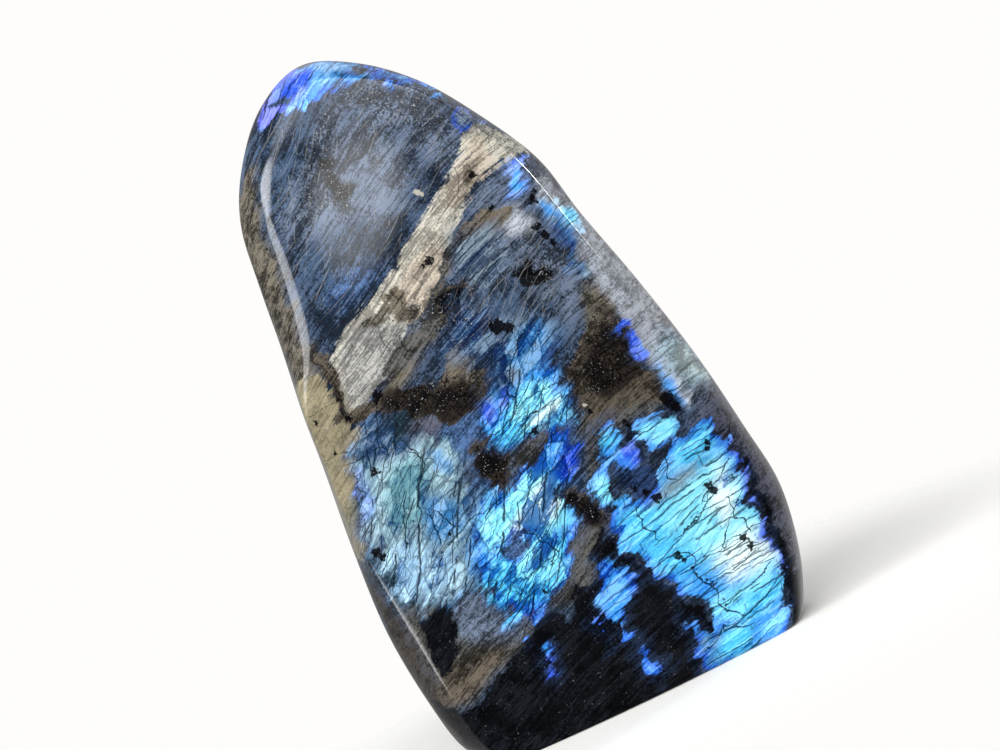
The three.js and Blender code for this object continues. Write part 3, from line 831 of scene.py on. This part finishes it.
class Wire:
    """A node's output. Sums on wires, numbers and triples add the maths nodes that work them out."""

    def __init__(self, tree, socket):
        self.tree = tree
        self.socket = socket

    def maths(self, operation, *values):
        if not any(is_vector(value) for value in values):
            return self.tree.node("ShaderNodeMath", {"operation": operation}, dict(enumerate(values)))
        triples = [(value,) * 3 if isinstance(value, (int, float)) else value for value in values]
        return self.tree.node("ShaderNodeVectorMath", {"operation": operation}, dict(enumerate(triples)))

    def measure(self, operation, *others):
        """What a vector operation gives as a number, such as a distance."""
        return self.maths(operation, self, *others).second()

    def second(self):
        """The second output of the same node."""
        return Wire(self.tree, self.socket.node.outputs[1])

    def __add__(self, other):
        return self.maths("ADD", self, other)

    def __sub__(self, other):
        return self.maths("SUBTRACT", self, other)

    def __rsub__(self, other):
        return self.maths("SUBTRACT", other, self)

    def __mul__(self, other):
        return self.maths("MULTIPLY", self, other)

    def __truediv__(self, other):
        return self.maths("DIVIDE", self, other)

    def __or__(self, other):
        return self.maths("MAXIMUM", self, other)

    def __abs__(self):
        return self.maths("ABSOLUTE", self)

    __radd__ = __add__
    __rmul__ = __mul__


class Tree:
    """Adds nodes to one node tree, each from its kind, its settings and what goes into its sockets."""

    def __init__(self, owner):
        owner.use_nodes = True
        self.nodes = owner.node_tree.nodes
        self.links = owner.node_tree.links
        self.nodes.clear()

    def node(self, kind, settings=None, inputs=None, output=0):
        made = self.nodes.new(kind)
        for name, value in (settings or {}).items():
            setattr(made, name, value)
        for name, value in (inputs or {}).items():
            if isinstance(value, Wire):
                self.links.new(value.socket, made.inputs[name])
            else:
                made.inputs[name].default_value = value
        return Wire(self, made.outputs[output]) if made.outputs else None

    def ramp(self, value, low, high):
        """0 where the value is below low, 1 above high, and an eased step between."""
        return self.node(
            "ShaderNodeMapRange", {"interpolation_type": "SMOOTHSTEP"},
            {"Value": value, "From Min": low, "From Max": high},
        )

    def mask(self, name, value):
        return self.ramp(value, *MASKS[name])

    def mixed(self, share, first, second):
        """Two colours mixed by a share of the second."""
        return self.node("ShaderNodeMix", {"data_type": "RGBA"}, {0: share, 6: first, 7: second}, output=2)

    def turned(self, place, tilt):
        """Places in a frame whose first axis rises to the right at a tilt."""
        return self.node(
            "ShaderNodeVectorRotate", {"rotation_type": "Y_AXIS"}, {"Vector": place, "Angle": tilt}
        )

    def cloud(self, place, scale=1.0, detail=2.0, output=0):
        """Soft noise in patches of about one over the scale: output 0 is a number and output 1 a colour."""
        inputs = {"Vector": place, "Scale": scale, "Detail": detail}
        return self.node("ShaderNodeTexNoise", {}, inputs, output)

    def cells(self, place, feature="F1", output=0):
        """Random cells about one wide: output 0 is a distance and output 1 each cell's own colour."""
        inputs = {"Vector": place, "Scale": 1.0}
        return self.node("ShaderNodeTexVoronoi", {"feature": feature}, inputs, output)

    def painted(self, name):
        """The colour that is painted on the mesh under a name."""
        return self.node("ShaderNodeAttribute", {"attribute_name": name})

    def painted_number(self, name):
        """The number that is painted on the mesh under a name."""
        return self.node("ShaderNodeAttribute", {"attribute_name": name}, output=2)

    def red(self, colour):
        return self.node("ShaderNodeSeparateColor", {}, {0: colour})

    def part(self, vector, number):
        """The x, y or z of a vector, as 0, 1 or 2."""
        return self.node("ShaderNodeSeparateXYZ", {}, {0: vector}, output=number)


def rounded(corners, closed, rounds=2):
    """A line or an outline with each of its corners cut off, twice over, which makes it a smooth one."""
    points = np.array(corners, float)
    for _ in range(rounds):
        following = np.roll(points, -1, 0) if closed else points[1:]
        leading = points if closed else points[:-1]
        near_leading = (3 * leading + following) / 4
        near_following = (leading + 3 * following) / 4
        cut = np.stack([near_leading, near_following], 1).reshape(-1, 2)
        points = cut if closed else np.vstack([points[:1], cut, points[-1:]])
    return points


def nearest_on_lines(places, starts, ends):
    """Each place's distance from its nearest line, and the side of that line it is on, as 1 or -1."""
    run = ends - starts
    from_start = places[:, None] - starts[None]
    share = np.clip((from_start * run).sum(2) / (run * run).sum(1), 0, 1)
    distance = np.linalg.norm(from_start - share[..., None] * run, axis=2)
    nearest = distance.argmin(1)
    rows = np.arange(len(places))
    cross = run[nearest, 0] * from_start[rows, nearest, 1] - run[nearest, 1] * from_start[rows, nearest, 0]
    return distance[rows, nearest], np.where(cross < 0, -1.0, 1.0)


def depth_in_area(places, corners):
    """How deep each place is inside an area, in millimetres, and below zero outside it."""
    edge = rounded(corners, True)
    following = np.roll(edge, -1, 0)
    distance, _ = nearest_on_lines(places, edge, following)
    x, z = places[:, :1], places[:, 1:]
    straddles = (edge[:, 1] > z) != (following[:, 1] > z)
    rise = np.where(following[:, 1] == edge[:, 1], TINY, following[:, 1] - edge[:, 1])
    crossing_x = edge[:, 0] + (z - edge[:, 1]) * (following[:, 0] - edge[:, 0]) / rise
    inside = (straddles & (x < crossing_x)).sum(1) % 2 == 1
    return np.where(inside, distance, -distance)


def deepest(places, areas):
    """How deep each place is in the area that it is deepest in."""
    return np.max([depth_in_area(places, corners) for corners in areas], 0)


def eased(values, low, high):
    share = np.clip((values - low) / (high - low), 0, 1)
    return share * share * (3 - 2 * share)


def blended(first, second, share):
    """Rows of colours, or numbers, that go over from the first to the second by each row's share."""
    if np.ndim(first) == 2:
        share = share[:, None]
    return first * (1 - share) + second * share


def wobble(points, size, reach):
    """A smooth random shift for each point, that changes over a size and moves it as far as reach."""
    shifts = np.array([noise.noise_vector(Vector(p) / size) for p in points])
    return shifts[:, [0, 2]] * reach


def streaky(points, tilt):
    """A shift along the grain that changes quickly across it, which feathers what is laid out."""
    length, depth, width = STREAK_SIZE
    direction = np.array([math.cos(tilt), math.sin(tilt)])
    along = points[:, [0, 2]] @ direction
    across = points[:, [0, 2]] @ np.array([-direction[1], direction[0]])
    spots = zip(along / length, points[:, 1] / depth, across / width)
    shifts = [noise.noise(spot) for spot in spots]
    return np.array(shifts)[:, None] * direction * FEATHERING


def clouds(points, size, seed):
    """Soft random patches about as wide as a size, from about -1 to 1."""
    offset = Vector((seed, seed * 2, seed * 3))
    return np.array([noise.fractal(Vector(p) / size + offset, *CLOUD_FRACTAL) for p in points])


def laid_out_places(points, grain_tilt):
    """Where each point is on the flat layout of the front, bent and feathered as natural zones are."""
    x, y, z = points.T
    places = points[:, [0, 2]] + wobble(points, *BROAD_WAVES) + wobble(points, *SMALL_WAVES)
    places = places + streaky(points, grain_tilt)
    places[:, 1] += np.maximum(y - SLOPE_STARTS, 0) * SLOPE
    rise_across = (x + LEAN * z ** 2) ** 2 / (2 * FRONT_RADIUS_ACROSS)
    rise_up = (z - FRONT_DEEPEST_Z) ** 2 / (2 * FRONT_RADIUS_UP)
    beside = eased(y + FRONT_DEPTH - rise_across - rise_up, *SIDE_EDGE)
    return places + wobble(points, *SIDE_WAVES) * beside[:, None]


class Painter:
    """Paints the stone's mesh: what is laid out on its front, and loose patterns of the same kinds behind."""

    def __init__(self, mesh, colours, finish):
        self.mesh = mesh
        self.colours = colours
        points = np.zeros(len(mesh.vertices) * 3)
        mesh.vertices.foreach_get("co", points)
        self.points = points.reshape(-1, 3) / MM
        self.places = laid_out_places(self.points, finish.grain_tilt)
        border = self.points[:, 1] + BORDER_REACH * clouds(self.points, *BORDER_PATCHES)
        self.behind = eased(border, *BACK_EDGE)
        grain = np.array([math.cos(finish.grain_tilt), 0, math.sin(finish.grain_tilt)])
        drawn = self.points - DRAWN_OUT * (self.points @ grain)[:, None] * grain
        self.loose = {name: clouds(drawn, *patches) for name, patches in BACK_PATCHES.items()}

    def colour(self, name):
        return np.array(getattr(self.colours, name))

    def all_over(self, name):
        return np.tile(self.colour(name), (len(self.points), 1))

    def joined(self, front, back):
        return blended(front, back, self.behind)

    def put(self, name, values):
        if values.ndim == 2:
            values = np.hstack([values, np.ones((len(values), 1))])
        kind, field = ("FLOAT_COLOR", "color") if values.ndim == 2 else ("FLOAT", "value")
        attribute = self.mesh.attributes.new(name, kind, "POINT")
        attribute.data.foreach_set(field, values.astype(np.float32).ravel())

    def painted_areas(self, areas, base):
        """A colour all over, with soft-edged areas laid over it in turn."""
        paint = self.all_over(base)
        for name, softness, corners in areas:
            depth = depth_in_area(self.places, corners)
            paint = blended(paint, self.colour(name), eased(depth, -softness, softness))
        return paint

    def ground(self):
        """The feldspar under everything else."""
        back = self.all_over(BACK_BASE)
        for name, patches, sign, edge in BACK_GROUND:
            back = blended(back, self.colour(name), eased(sign * self.loose[patches], *edge))
        return self.joined(self.painted_areas(GROUND, "slate"), back)

    def sheen(self):
        """The colour that the stone flashes in."""
        blueness = eased(self.loose["hue"], *BACK_HUES)
        back = blended(self.all_over("royal"), self.colour("sky"), blueness)
        return self.joined(self.painted_areas(SHEEN, "azure"), back)

    def loose_depth(self, name):
        """How deep each point is in the loose patches of a kind."""
        return (self.loose[name] - BACK_LEVELS[name]) * BACK_STEEPNESS

    def layer_depth(self):
        """How deep each point is in the layer that the pale band is."""
        x, y, z = self.points.T
        from_middle = np.abs(z - LAYER_HEIGHT - LAYER_RISE * x + LAYER_FALL * y) / LAYER_SLANT
        return LAYER_HALF + LAYER_UNEVENNESS * self.loose["pale"] - from_middle

    def joined_depth(self, front, back, limit):
        return self.joined(np.clip(front, -limit, limit), np.clip(back, -limit, limit))

    def paint_flashes(self):
        depths = np.array([depth_in_area(self.places, corners) for _, _, corners in FLASHES])
        softness, unevenness = np.array([(soft, uneven) for soft, uneven, _ in FLASHES]).T
        foremost = (depths / softness[:, None]).argmax(0)
        depth = depths[foremost, np.arange(len(self.points))]
        depth = np.minimum(depth, -deepest(self.places, POCKETS))
        self.put("sheen", self.sheen())
        self.put("flash_depth", self.joined_depth(depth, self.loose_depth("flash"), FLASH_LIMIT))
        self.put("flash_softness", self.joined(softness[foremost], BACK_SOFTNESS))
        self.put("flash_unevenness", self.joined(unevenness[foremost], BACK_UNEVENNESS))

    def paint_patches(self, name, patches, back_colour, back_depth, ground):
        """How deep each point is in some patches, and the colour of the patch that it is in or next to."""
        paint = ground
        depths = []
        for colour, corners in patches:
            depth = depth_in_area(self.places, corners)
            paint = blended(paint, self.colour(colour), eased(depth, *PATCH_EDGE))
            depths.append(depth)
        self.put(name + "_depth", self.joined_depth(np.max(depths, 0), back_depth, PATCH_LIMIT))
        self.put(name, self.joined(paint, self.colour(back_colour)))

    def paint_feldspar(self):
        ground = self.ground()
        self.put("ground", ground)
        self.paint_patches("pale", PALES, "ash", self.layer_depth(), ground)
        self.paint_patches("crust", CRUSTS, "umber", self.loose_depth("crust"), ground)
        black = deepest(self.places, BLACKS)
        self.put("black_depth", self.joined_depth(black, self.loose_depth("black"), PATCH_LIMIT))

    def paint_textures(self):
        self.put("behind", self.behind)
        for name, areas, edge, patches, back_edge in TEXTURES:
            back = eased(clouds(self.points, *patches), *back_edge) if patches else 0
            self.put(name, self.joined(eased(deepest(self.places, areas), *edge), back))

    def paint_cracks(self, name, cracks):
        """The distance to the nearest laid-out crack, and the same with its side as a plus or minus."""
        lines = [rounded(crack, False) for crack in cracks]
        starts = np.vstack([line[:-1] for line in lines])
        ends = np.vstack([line[1:] for line in lines])
        distance, side = nearest_on_lines(self.places, starts, ends)
        self.put(name + "_crack_gap", distance)
        self.put(name + "_crack_side", distance * side)


def paint_stone(mesh, colours, finish):
    noise.seed_set(WAVES_SEED)
    painter = Painter(mesh, colours, finish)
    painter.paint_feldspar()
    painter.paint_flashes()
    painter.paint_textures()
    painter.paint_cracks("long", LONG_CRACKS)
    painter.paint_cracks("cross", CROSS_CRACKS)


def opaque(colour):
    return (*colour, 1)


def strongest(masks):
    """The highest of some masks at each point."""
    highest = masks[0]
    for mask in masks[1:]:
        highest = highest | mask
    return highest


class Fabric:
    """The patterns that run through the stone. Places are in millimetres."""

    def __init__(self, tree, finish):
        self.tree = tree
        self.place = tree.node("ShaderNodeTexCoord", output=3) * (1 / MM)
        drift = tree.cloud(self.place, finish.drift_scale, DRIFT_DETAIL, output=1)
        self.bent = self.place + (drift - HALF) * finish.drift - (0.0, 0.0, finish.half_height)
        height_turn = tree.part(self.place, 2) * finish.grain_turn
        tilt_change = height_turn - tree.part(self.place, 0) * finish.grain_fan
        self.tilt = tilt_change + (finish.grain_tilt - finish.half_height * finish.grain_turn)
        self.jitter = tree.cloud(self.place, *JITTER, output=1) - HALF
        self.behind = tree.painted_number("behind")
        self.textures = {name: tree.painted_number(name) for name, *_ in TEXTURES}
        self.frames = {
            "grain": tree.turned(self.bent, self.tilt),
            "steep": tree.turned(self.bent, self.tilt + (finish.steep_tilt - finish.grain_tilt)),
        }
        self.patterns = {name: tree.cloud(self.place, *pattern) for name, pattern in EVEN_PATTERNS.items()}
        for name, (frequency, detail) in GRAINED_PATTERNS.items():
            self.patterns[name] = tree.cloud(self.frames["grain"] * frequency, 1.0, detail)
        self.sides = {}
        for name, (frame_name, size, bend) in CELLS.items():
            place = self.frames[frame_name] * tuple(1 / side for side in size) + self.jitter * bend
            self.patterns[name] = tree.red(tree.cells(place, output=1))
            self.sides[name] = tree.cells(place, "DISTANCE_TO_EDGE")

    def added(self, weights):
        """Patterns added up by their weights, each about zero, and some only where a texture is."""
        parts = []
        for name, weight, *textures in weights:
            part = (self.patterns[name] - 0.5) * weight
            for texture in textures:
                part = part * self.textures[texture]
            parts.append(part)
        return sum(parts[1:], parts[0])

    def cell_cracks(self, name):
        """Cracks along some of a cell's sides, in blocky stone."""
        side = 1 - self.tree.mask(name + "_crack", self.sides[name])
        return side * self.tree.mask(name + "_cracked", self.patterns["patches"]) * self.textures["blocky"]

    def cell_shade(self):
        """The shade beside the sides of the long cells, and of the blocks in blocky stone."""
        long_side = 1 - self.tree.mask("long_side", self.sides["long"])
        block_side = (1 - self.tree.mask("block_side", self.sides["block"])) * self.textures["blocky"]
        return (long_side | block_side) * self.tree.mask("shaded", self.patterns["patches"])

    def hairlines(self, turn, spacing, length, width, share, seed, bend=1.0):
        """Thin cracks at a turn from the grain, each open in a share of its length and more or less bent."""
        tree = self.tree
        frame = tree.turned(self.bent, self.tilt + turn)
        along = tree.part(frame, 0)
        shift = tree.part(self.jitter, 0) * SHAKE + (self.patterns["patches"] - 0.5)
        across = tree.part(frame, 2) + shift * bend
        line = {"W": across / spacing + seed, "Scale": 1.0}
        distance = tree.node("ShaderNodeTexVoronoi", {"voronoi_dimensions": "1D"}, line)
        chance = tree.red(distance.second())
        where = {0: along / length, 1: chance * NEIGHBOURS_APART, 2: seed}
        openness = tree.cloud(tree.node("ShaderNodeCombineXYZ", {}, where), 1.0, 1.0)
        least = OPEN_NONE - share * (OPEN_NONE - OPEN_ALL)
        opened = tree.ramp(openness, least, least + OPEN_FADE)
        half = (chance * (1 - THINNEST) + THINNEST) * width / spacing
        return (1 - tree.mask("hairline", distance / half)) * opened

    def laid_cracks(self, name):
        """The cracks of one kind that are laid out, with ragged sides and open ends."""
        width = LAID_CRACK_WIDTHS[name]
        crumbs = (self.patterns["crumbs"] - 0.5) * LAID_CRACK_RAGGED
        side = abs(self.tree.painted_number(name + "_crack_side") + crumbs)
        near = 1 - self.tree.ramp(side, width * LAID_CRACK_MIDDLE, width)
        return near * (1 - self.tree.mask("laid_crack_end", self.tree.painted_number(name + "_crack_gap")))

    def spots(self, places, spikiness):
        """How far each point is inside the nearest of some spots, whose edges are more or less spiky."""
        edges = self.tree.cloud(self.place, *SPIKES, output=1)
        spiked = self.place + edges * (spikiness, 0.0, spikiness)
        flat = spiked * (1.0, 0.0, 1.0) - (spikiness / 2, 0.0, spikiness / 2)
        return strongest([radius - flat.measure("DISTANCE", (x, 0.0, z)) for x, z, radius in places])


def cracking(fabric):
    """All the cracks, and the laid-out ones alone."""
    laid = (fabric.laid_cracks("long") | fabric.laid_cracks("cross")) * (1 - fabric.behind)
    cracks = [(fabric.cell_cracks("block") | fabric.cell_cracks("chip")) * BLOCK_CRACK, laid]
    for *line, plain, blocky in HAIRLINES:
        strength = plain + fabric.textures["blocky"] * (blocky - plain)
        cracks.append(fabric.hairlines(*line) * strength)
    return strongest(cracks), laid


def flashing(fabric, colours, cracks):
    """Where the stone flashes, the colour of its painted sheen, and how deep each point is in a flash."""
    tree = fabric.tree
    soft = tree.painted_number("flash_softness")
    depth = tree.painted_number("flash_depth") + fabric.added(RAGGED_EDGE)
    fringe = 1 - tree.mask("fringe_ends", depth)
    fringe = fringe * tree.mask("fringed", fabric.patterns["regions"]) * (1 - tree.mask("too_soft", soft))

    plain_shade, blocky_shade = CELL_SHADE
    shade = fabric.cell_shade() * (plain_shade + fabric.textures["blocky"] * (blocky_shade - plain_shade))
    glow = (fabric.added(FLASH_GLOW) - shade) * tree.painted_number("flash_unevenness")
    glow = MIDDLE_GLOW + glow - fringe * FRINGE_DIMMING

    sheen = tree.mixed(fringe * FRINGE_BLUE, tree.painted("sheen"), opaque(colours.royal))
    bright = tree.mixed(WHITER, sheen * BRIGHTER, opaque(colours.frost))
    sheen = tree.mixed(tree.mask("lit", glow), sheen * DIM, sheen)
    sheen = tree.mixed(tree.mask("bright", glow), sheen, bright)
    sheen = tree.mixed(cracks * FLASH_CRACK, sheen, opaque(colours.crack))
    return tree.mask("flash", depth / soft), sheen, depth


def feldspar(fabric, colours, cracks, laid, flash_depth):
    """The stone's colour where it doesn't flash, and where that is calm and pale."""
    tree = fabric.tree
    feathers = fabric.added(FEATHERED_EDGE)
    crumbling = fabric.added(CRUMBLY_EDGE)
    ground = tree.painted("ground")
    pale = tree.mask("pale", tree.painted_number("pale_depth") + feathers)
    ground = tree.mixed(pale, ground, tree.painted("pale"))
    crust = tree.mask("crust", tree.painted_number("crust_depth") + crumbling)
    ground = tree.mixed(crust, ground, tree.painted("crust"))
    black = tree.mask("black", tree.painted_number("black_depth") + crumbling)
    ground = tree.mixed(black, ground, opaque(colours.coal))
    calm = tree.mask("calm", ground.measure("DOT_PRODUCT", LIGHTNESS))

    smooth = fabric.textures["smooth"]
    tone = tree.mask("tone", 0.5 + fabric.added(FELDSPAR_TONE) * (1 - smooth * SMOOTH_TONES))
    ground = tree.mixed(tree.mask("halo", flash_depth) * HALO, ground, opaque(colours.navy))
    shade = tree.mixed(calm, ground * DARKEST[0], ground * DARKEST[1])
    shine = tree.mixed(calm, ground * LIGHTEST[0], ground * LIGHTEST[1])
    ground = tree.mixed(tone, shade, shine)

    scratches = strongest([fabric.hairlines(*scratch, SCRATCH_BEND) for scratch in SCRATCHES])
    ground = tree.mixed(scratches * fabric.textures["silky"] * SCRATCH, ground, opaque(colours.mist))
    dark = (laid | (cracks * (1 - smooth * SMOOTH_CRACKS))) * FELDSPAR_CRACK
    return tree.mixed(dark, ground, opaque(colours.coal)), calm


def black_specks(fabric):
    """Black inclusions in the places laid out for them, tiny dots anywhere, and grit."""
    tree = fabric.tree
    specks = tree.mask("speck", fabric.spots(SPECKS, SPECK_SPIKES)) * (1 - fabric.behind)
    cells = tree.cells(fabric.place * DOTS)
    dots = (1 - tree.mask("dot", cells)) * tree.mask("dotted", tree.red(cells.second()))
    roughened = fabric.patterns["patches"] + (fabric.patterns["crumbs"] - 0.5) * GRIT_CRUMBS
    grit = tree.mask("black_grit", roughened) * fabric.textures["grit"]
    return specks | dots | (grit * BLACK_GRIT)


def glinting(fabric, calm, flash):
    """Tiny pale grains with painted glints of sparkle, most of them where the stone is granular."""
    grit = fabric.textures["grit"]
    grains = fabric.tree.cloud(fabric.place, *GLINT_GRAINS)
    grains = grains + (fabric.patterns["patches"] - 0.5) * GLINT_PATCHES
    grains = grains + grit * GLINT_GRIT + fabric.textures["silky"] * GLINT_SILK
    strength = GLINT + calm * GLINT_CALM + flash * GLINT_FLASH + grit * GLINT_GRITTY
    return fabric.tree.mask("glint", grains) * strength


def stone_material(colours, finish):
    """Labradorite under a clear polish: grained feldspar, flashes painted as sheen and glow, cracks, black
    inclusions and painted glints.
    """
    material = bpy.data.materials.new("polished_labradorite")
    tree = Tree(material)
    fabric = Fabric(tree, finish)
    cracks, laid = cracking(fabric)
    flash, sheen, flash_depth = flashing(fabric, colours, cracks)
    ground, calm = feldspar(fabric, colours, cracks, laid, flash_depth)
    colour = tree.mixed(flash, ground, sheen)
    colour = tree.mixed(black_specks(fabric) * SPECK, colour, opaque(colours.pitch))
    colour = tree.mixed(glinting(fabric, calm, flash), colour, opaque(colours.glint))
    flecks = tree.mask("fleck", fabric.spots(FLECKS, FLECK_SPIKES)) * (1 - fabric.behind)
    colour = tree.mixed(flecks * FLECK, colour, opaque(colours.ash))
    surface = tree.node(
        "ShaderNodeBsdfPrincipled", {},
        {
            "Base Color": colour,
            "Metallic": flash * FLASH_METAL,
            "Roughness": ROUGHNESS - flash * FLASH_SMOOTHER,
            "Specular IOR Level": 0.0,
            "Normal": tree.node("ShaderNodeBump", {}, {**RELIEF, "Height": fabric.patterns["streaks"]}),
            "Coat Weight": 1.0,
            "Coat Roughness": finish.polish,
            "Coat IOR": POLISH_IOR,
            # Painted glow: a flash gives off its own colour as light, standing in for its sheen
            "Emission Color": tree.mixed(flash, (0, 0, 0, 1), colour * PAINTED_GLOW),
            "Emission Strength": 1.0,
        },
    )
    tree.node("ShaderNodeOutputMaterial", {}, {"Surface": surface})
    return material


def merge_into_squares(finish):
    """Joins the active object's loose triangles, and then most of them to squares."""
    bpy.ops.object.mode_set(mode="EDIT")
    bpy.ops.mesh.select_all(action="SELECT")
    bpy.ops.mesh.remove_doubles(threshold=finish.merge_distance)
    bpy.ops.mesh.tris_convert_to_quads(face_threshold=FLATTEST_FOLD, shape_threshold=WORST_CORNER)
    bpy.ops.object.mode_set(mode="OBJECT")


class LABRADORITE_OT_stone(bpy.types.Operator):
    """Dress the stone: a smooth copy of the modelled one, with its zones painted and its polish on."""

    bl_idname = "labradorite.stone"
    bl_label = "Polished stone"

    def execute(self, context):
        scene = context.scene
        finish = scene.labradorite_finish
        stone = frame["nodes"][STONE_NODE].copy()
        stone.data = stone.data.copy()
        stone.name = stone.data.name = "polished_stone"
        stone.parent = None
        stone.matrix_world = Matrix.Identity(4)
        scene.collection.objects.link(stone)
        bpy.ops.object.select_all(action="DESELECT")
        stone.select_set(True)
        context.view_layer.objects.active = stone
        merge_into_squares(finish)
        subdivision = stone.modifiers.new("smooth", "SUBSURF")
        subdivision.levels = subdivision.render_levels = finish.smoothing
        bpy.ops.object.modifier_apply(modifier=subdivision.name)
        bpy.ops.object.shade_smooth()
        paint_stone(stone.data, scene.labradorite_colours, finish)
        stone.data.materials.clear()
        stone.data.materials.append(stone_material(scene.labradorite_colours, finish))
        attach(stone, "root")
        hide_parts(STONE_NODE)
        return {"FINISHED"}


def floor_material(stage):
    """A pale floor that fades into the backdrop round the stone."""
    material = bpy.data.materials.new("floor")
    tree = Tree(material)
    place = tree.node("ShaderNodeTexCoord", output=3) - (0.0, stage.floor_middle, 0.0)
    faded = tree.ramp(place.measure("LENGTH"), stage.floor_fade_start, stage.floor_fade_end)
    surface = tree.node(
        "ShaderNodeBsdfPrincipled", {},
        {
            "Base Color": opaque(stage.floor_colour),
            "Roughness": FLOOR_ROUGHNESS,
            "Specular IOR Level": FLOOR_GLOSS,
            "Alpha": 1 - faded,
        },
    )
    tree.node("ShaderNodeOutputMaterial", {}, {"Surface": surface})
    return material


def lay_floor(context, stage):
    bpy.ops.mesh.primitive_plane_add(size=stage.floor_size)
    floor = context.object
    floor.name = "floor"
    floor.data.materials.append(floor_material(stage))
    floor.visible_glossy = False
    return floor


def light_room(scene, stage):
    """A soft room that only the stone and the floor see, and the plain backdrop that the camera sees."""
    scene.world = bpy.data.worlds.new("studio")
    tree = Tree(scene.world)
    towards = tree.node("ShaderNodeTexCoord", output=0)
    bright = tree.ramp(tree.part(towards, 1), *ROOM_FRONT_TO_BACK) * ROOM_LIGHT + ROOM_LEAST
    from_left = tree.ramp(tree.part(towards, 0), *ROOM_LEFT_TO_RIGHT)
    bright = bright * (ROOM_LEFT + (1 - ROOM_LEFT) * from_left)
    room = tree.node("ShaderNodeBackground", {}, {"Color": (1, 1, 1, 1), "Strength": bright})
    seen = tree.node("ShaderNodeBackground", {}, {"Color": opaque(stage.backdrop), "Strength": 1.0})
    camera_sees = tree.node("ShaderNodeLightPath")
    both = tree.node("ShaderNodeMixShader", {}, {0: camera_sees, 1: room, 2: seen})
    tree.node("ShaderNodeOutputWorld", {}, {"Surface": both})


def soft_edges(light):
    """Dims an area light towards its edges, as a softbox does."""
    tree = Tree(light)
    spot = tree.node("ShaderNodeNewGeometry", output=5)
    dimmed = tree.ramp(spot.measure("DISTANCE", (0.5, 0.5, 0.0)), *LIGHT_EDGE)
    glow = tree.node("ShaderNodeEmission", {}, {"Strength": LIGHT_MIDDLE * (1 - dimmed)})
    tree.node("ShaderNodeOutputLight", {}, {"Surface": glow})


def hang_light(context, name, place, width, height, turn, power):
    bpy.ops.object.light_add(type="AREA", location=place)
    light = context.object
    light.name = name
    light.visible_camera = False
    light.data.shape = "RECTANGLE"
    light.data.size = width
    light.data.size_y = height
    light.data.energy = power
    aim = (LIGHTS_AIM - Vector(place)).to_track_quat("-Z", "Y")
    light.rotation_euler = (aim @ Quaternion((0, 0, 1), turn)).to_euler()
    soft_edges(light.data)


def place_camera(context, stage):
    """A camera that looks straight at the front, and is rolled so that the stone leans to the left."""
    bpy.ops.object.camera_add()
    camera = context.object
    camera.name = "camera"
    camera.data.sensor_width = SENSOR_WIDTH
    camera.data.lens = stage.lens
    camera.data.clip_start = CLIP_START
    cos, sin = math.cos(stage.camera_roll), math.sin(stage.camera_roll)
    axes = Matrix(((cos, sin, 0), (0, 0, -1), (-sin, cos, 0)))
    camera.rotation_euler = axes.to_euler()
    camera.location = (stage.camera_right, -stage.camera_distance, stage.camera_height)
    context.scene.camera = camera


class LABRADORITE_OT_stage(bpy.types.Operator):
    """Lay the floor, hang the lights and place the camera."""

    bl_idname = "labradorite.stage"
    bl_label = "Stage"

    def execute(self, context):
        stage = context.scene.labradorite_stage
        context.scene.view_settings.view_transform = "Standard"
        bpy.ops.object.select_all(action="DESELECT")
        floor = lay_floor(context, stage)
        light_room(context.scene, stage)
        for light in LIGHTS:
            hang_light(context, *light)
        place_camera(context, stage)
        return {"FINISHED"}


class LABRADORITE_PT_panel(bpy.types.Panel):
    """Builds the stone and its stage."""

    bl_idname = "LABRADORITE_PT_panel"
    bl_label = "Polished labradorite"
    bl_space_type = "VIEW_3D"
    bl_region_type = "UI"
    bl_category = "Labradorite"

    def draw(self, context):
        for operator in (LABRADORITE_OT_stone, LABRADORITE_OT_stage):
            self.layout.operator(operator.bl_idname)
        for group in ("labradorite_colours", "labradorite_finish", "labradorite_stage"):
            settings = getattr(context.scene, group)
            for name in settings.__annotations__:
                self.layout.prop(settings, name)


CLASSES = (
    StoneColours, StoneFinish, StageSettings, LABRADORITE_OT_stone, LABRADORITE_OT_stage,
    LABRADORITE_PT_panel,
)


def register():
    for cls in CLASSES:
        bpy.utils.register_class(cls)
    bpy.types.Scene.labradorite_colours = bpy.props.PointerProperty(type=StoneColours)
    bpy.types.Scene.labradorite_finish = bpy.props.PointerProperty(type=StoneFinish)
    bpy.types.Scene.labradorite_stage = bpy.props.PointerProperty(type=StageSettings)


def unregister():
    del bpy.types.Scene.labradorite_stage
    del bpy.types.Scene.labradorite_finish
    del bpy.types.Scene.labradorite_colours
    for cls in reversed(CLASSES):
        bpy.utils.unregister_class(cls)


def main():
    register()
    bpy.ops.labradorite.stone()
    bpy.ops.labradorite.stage()


if __name__ == "__main__":
    main()
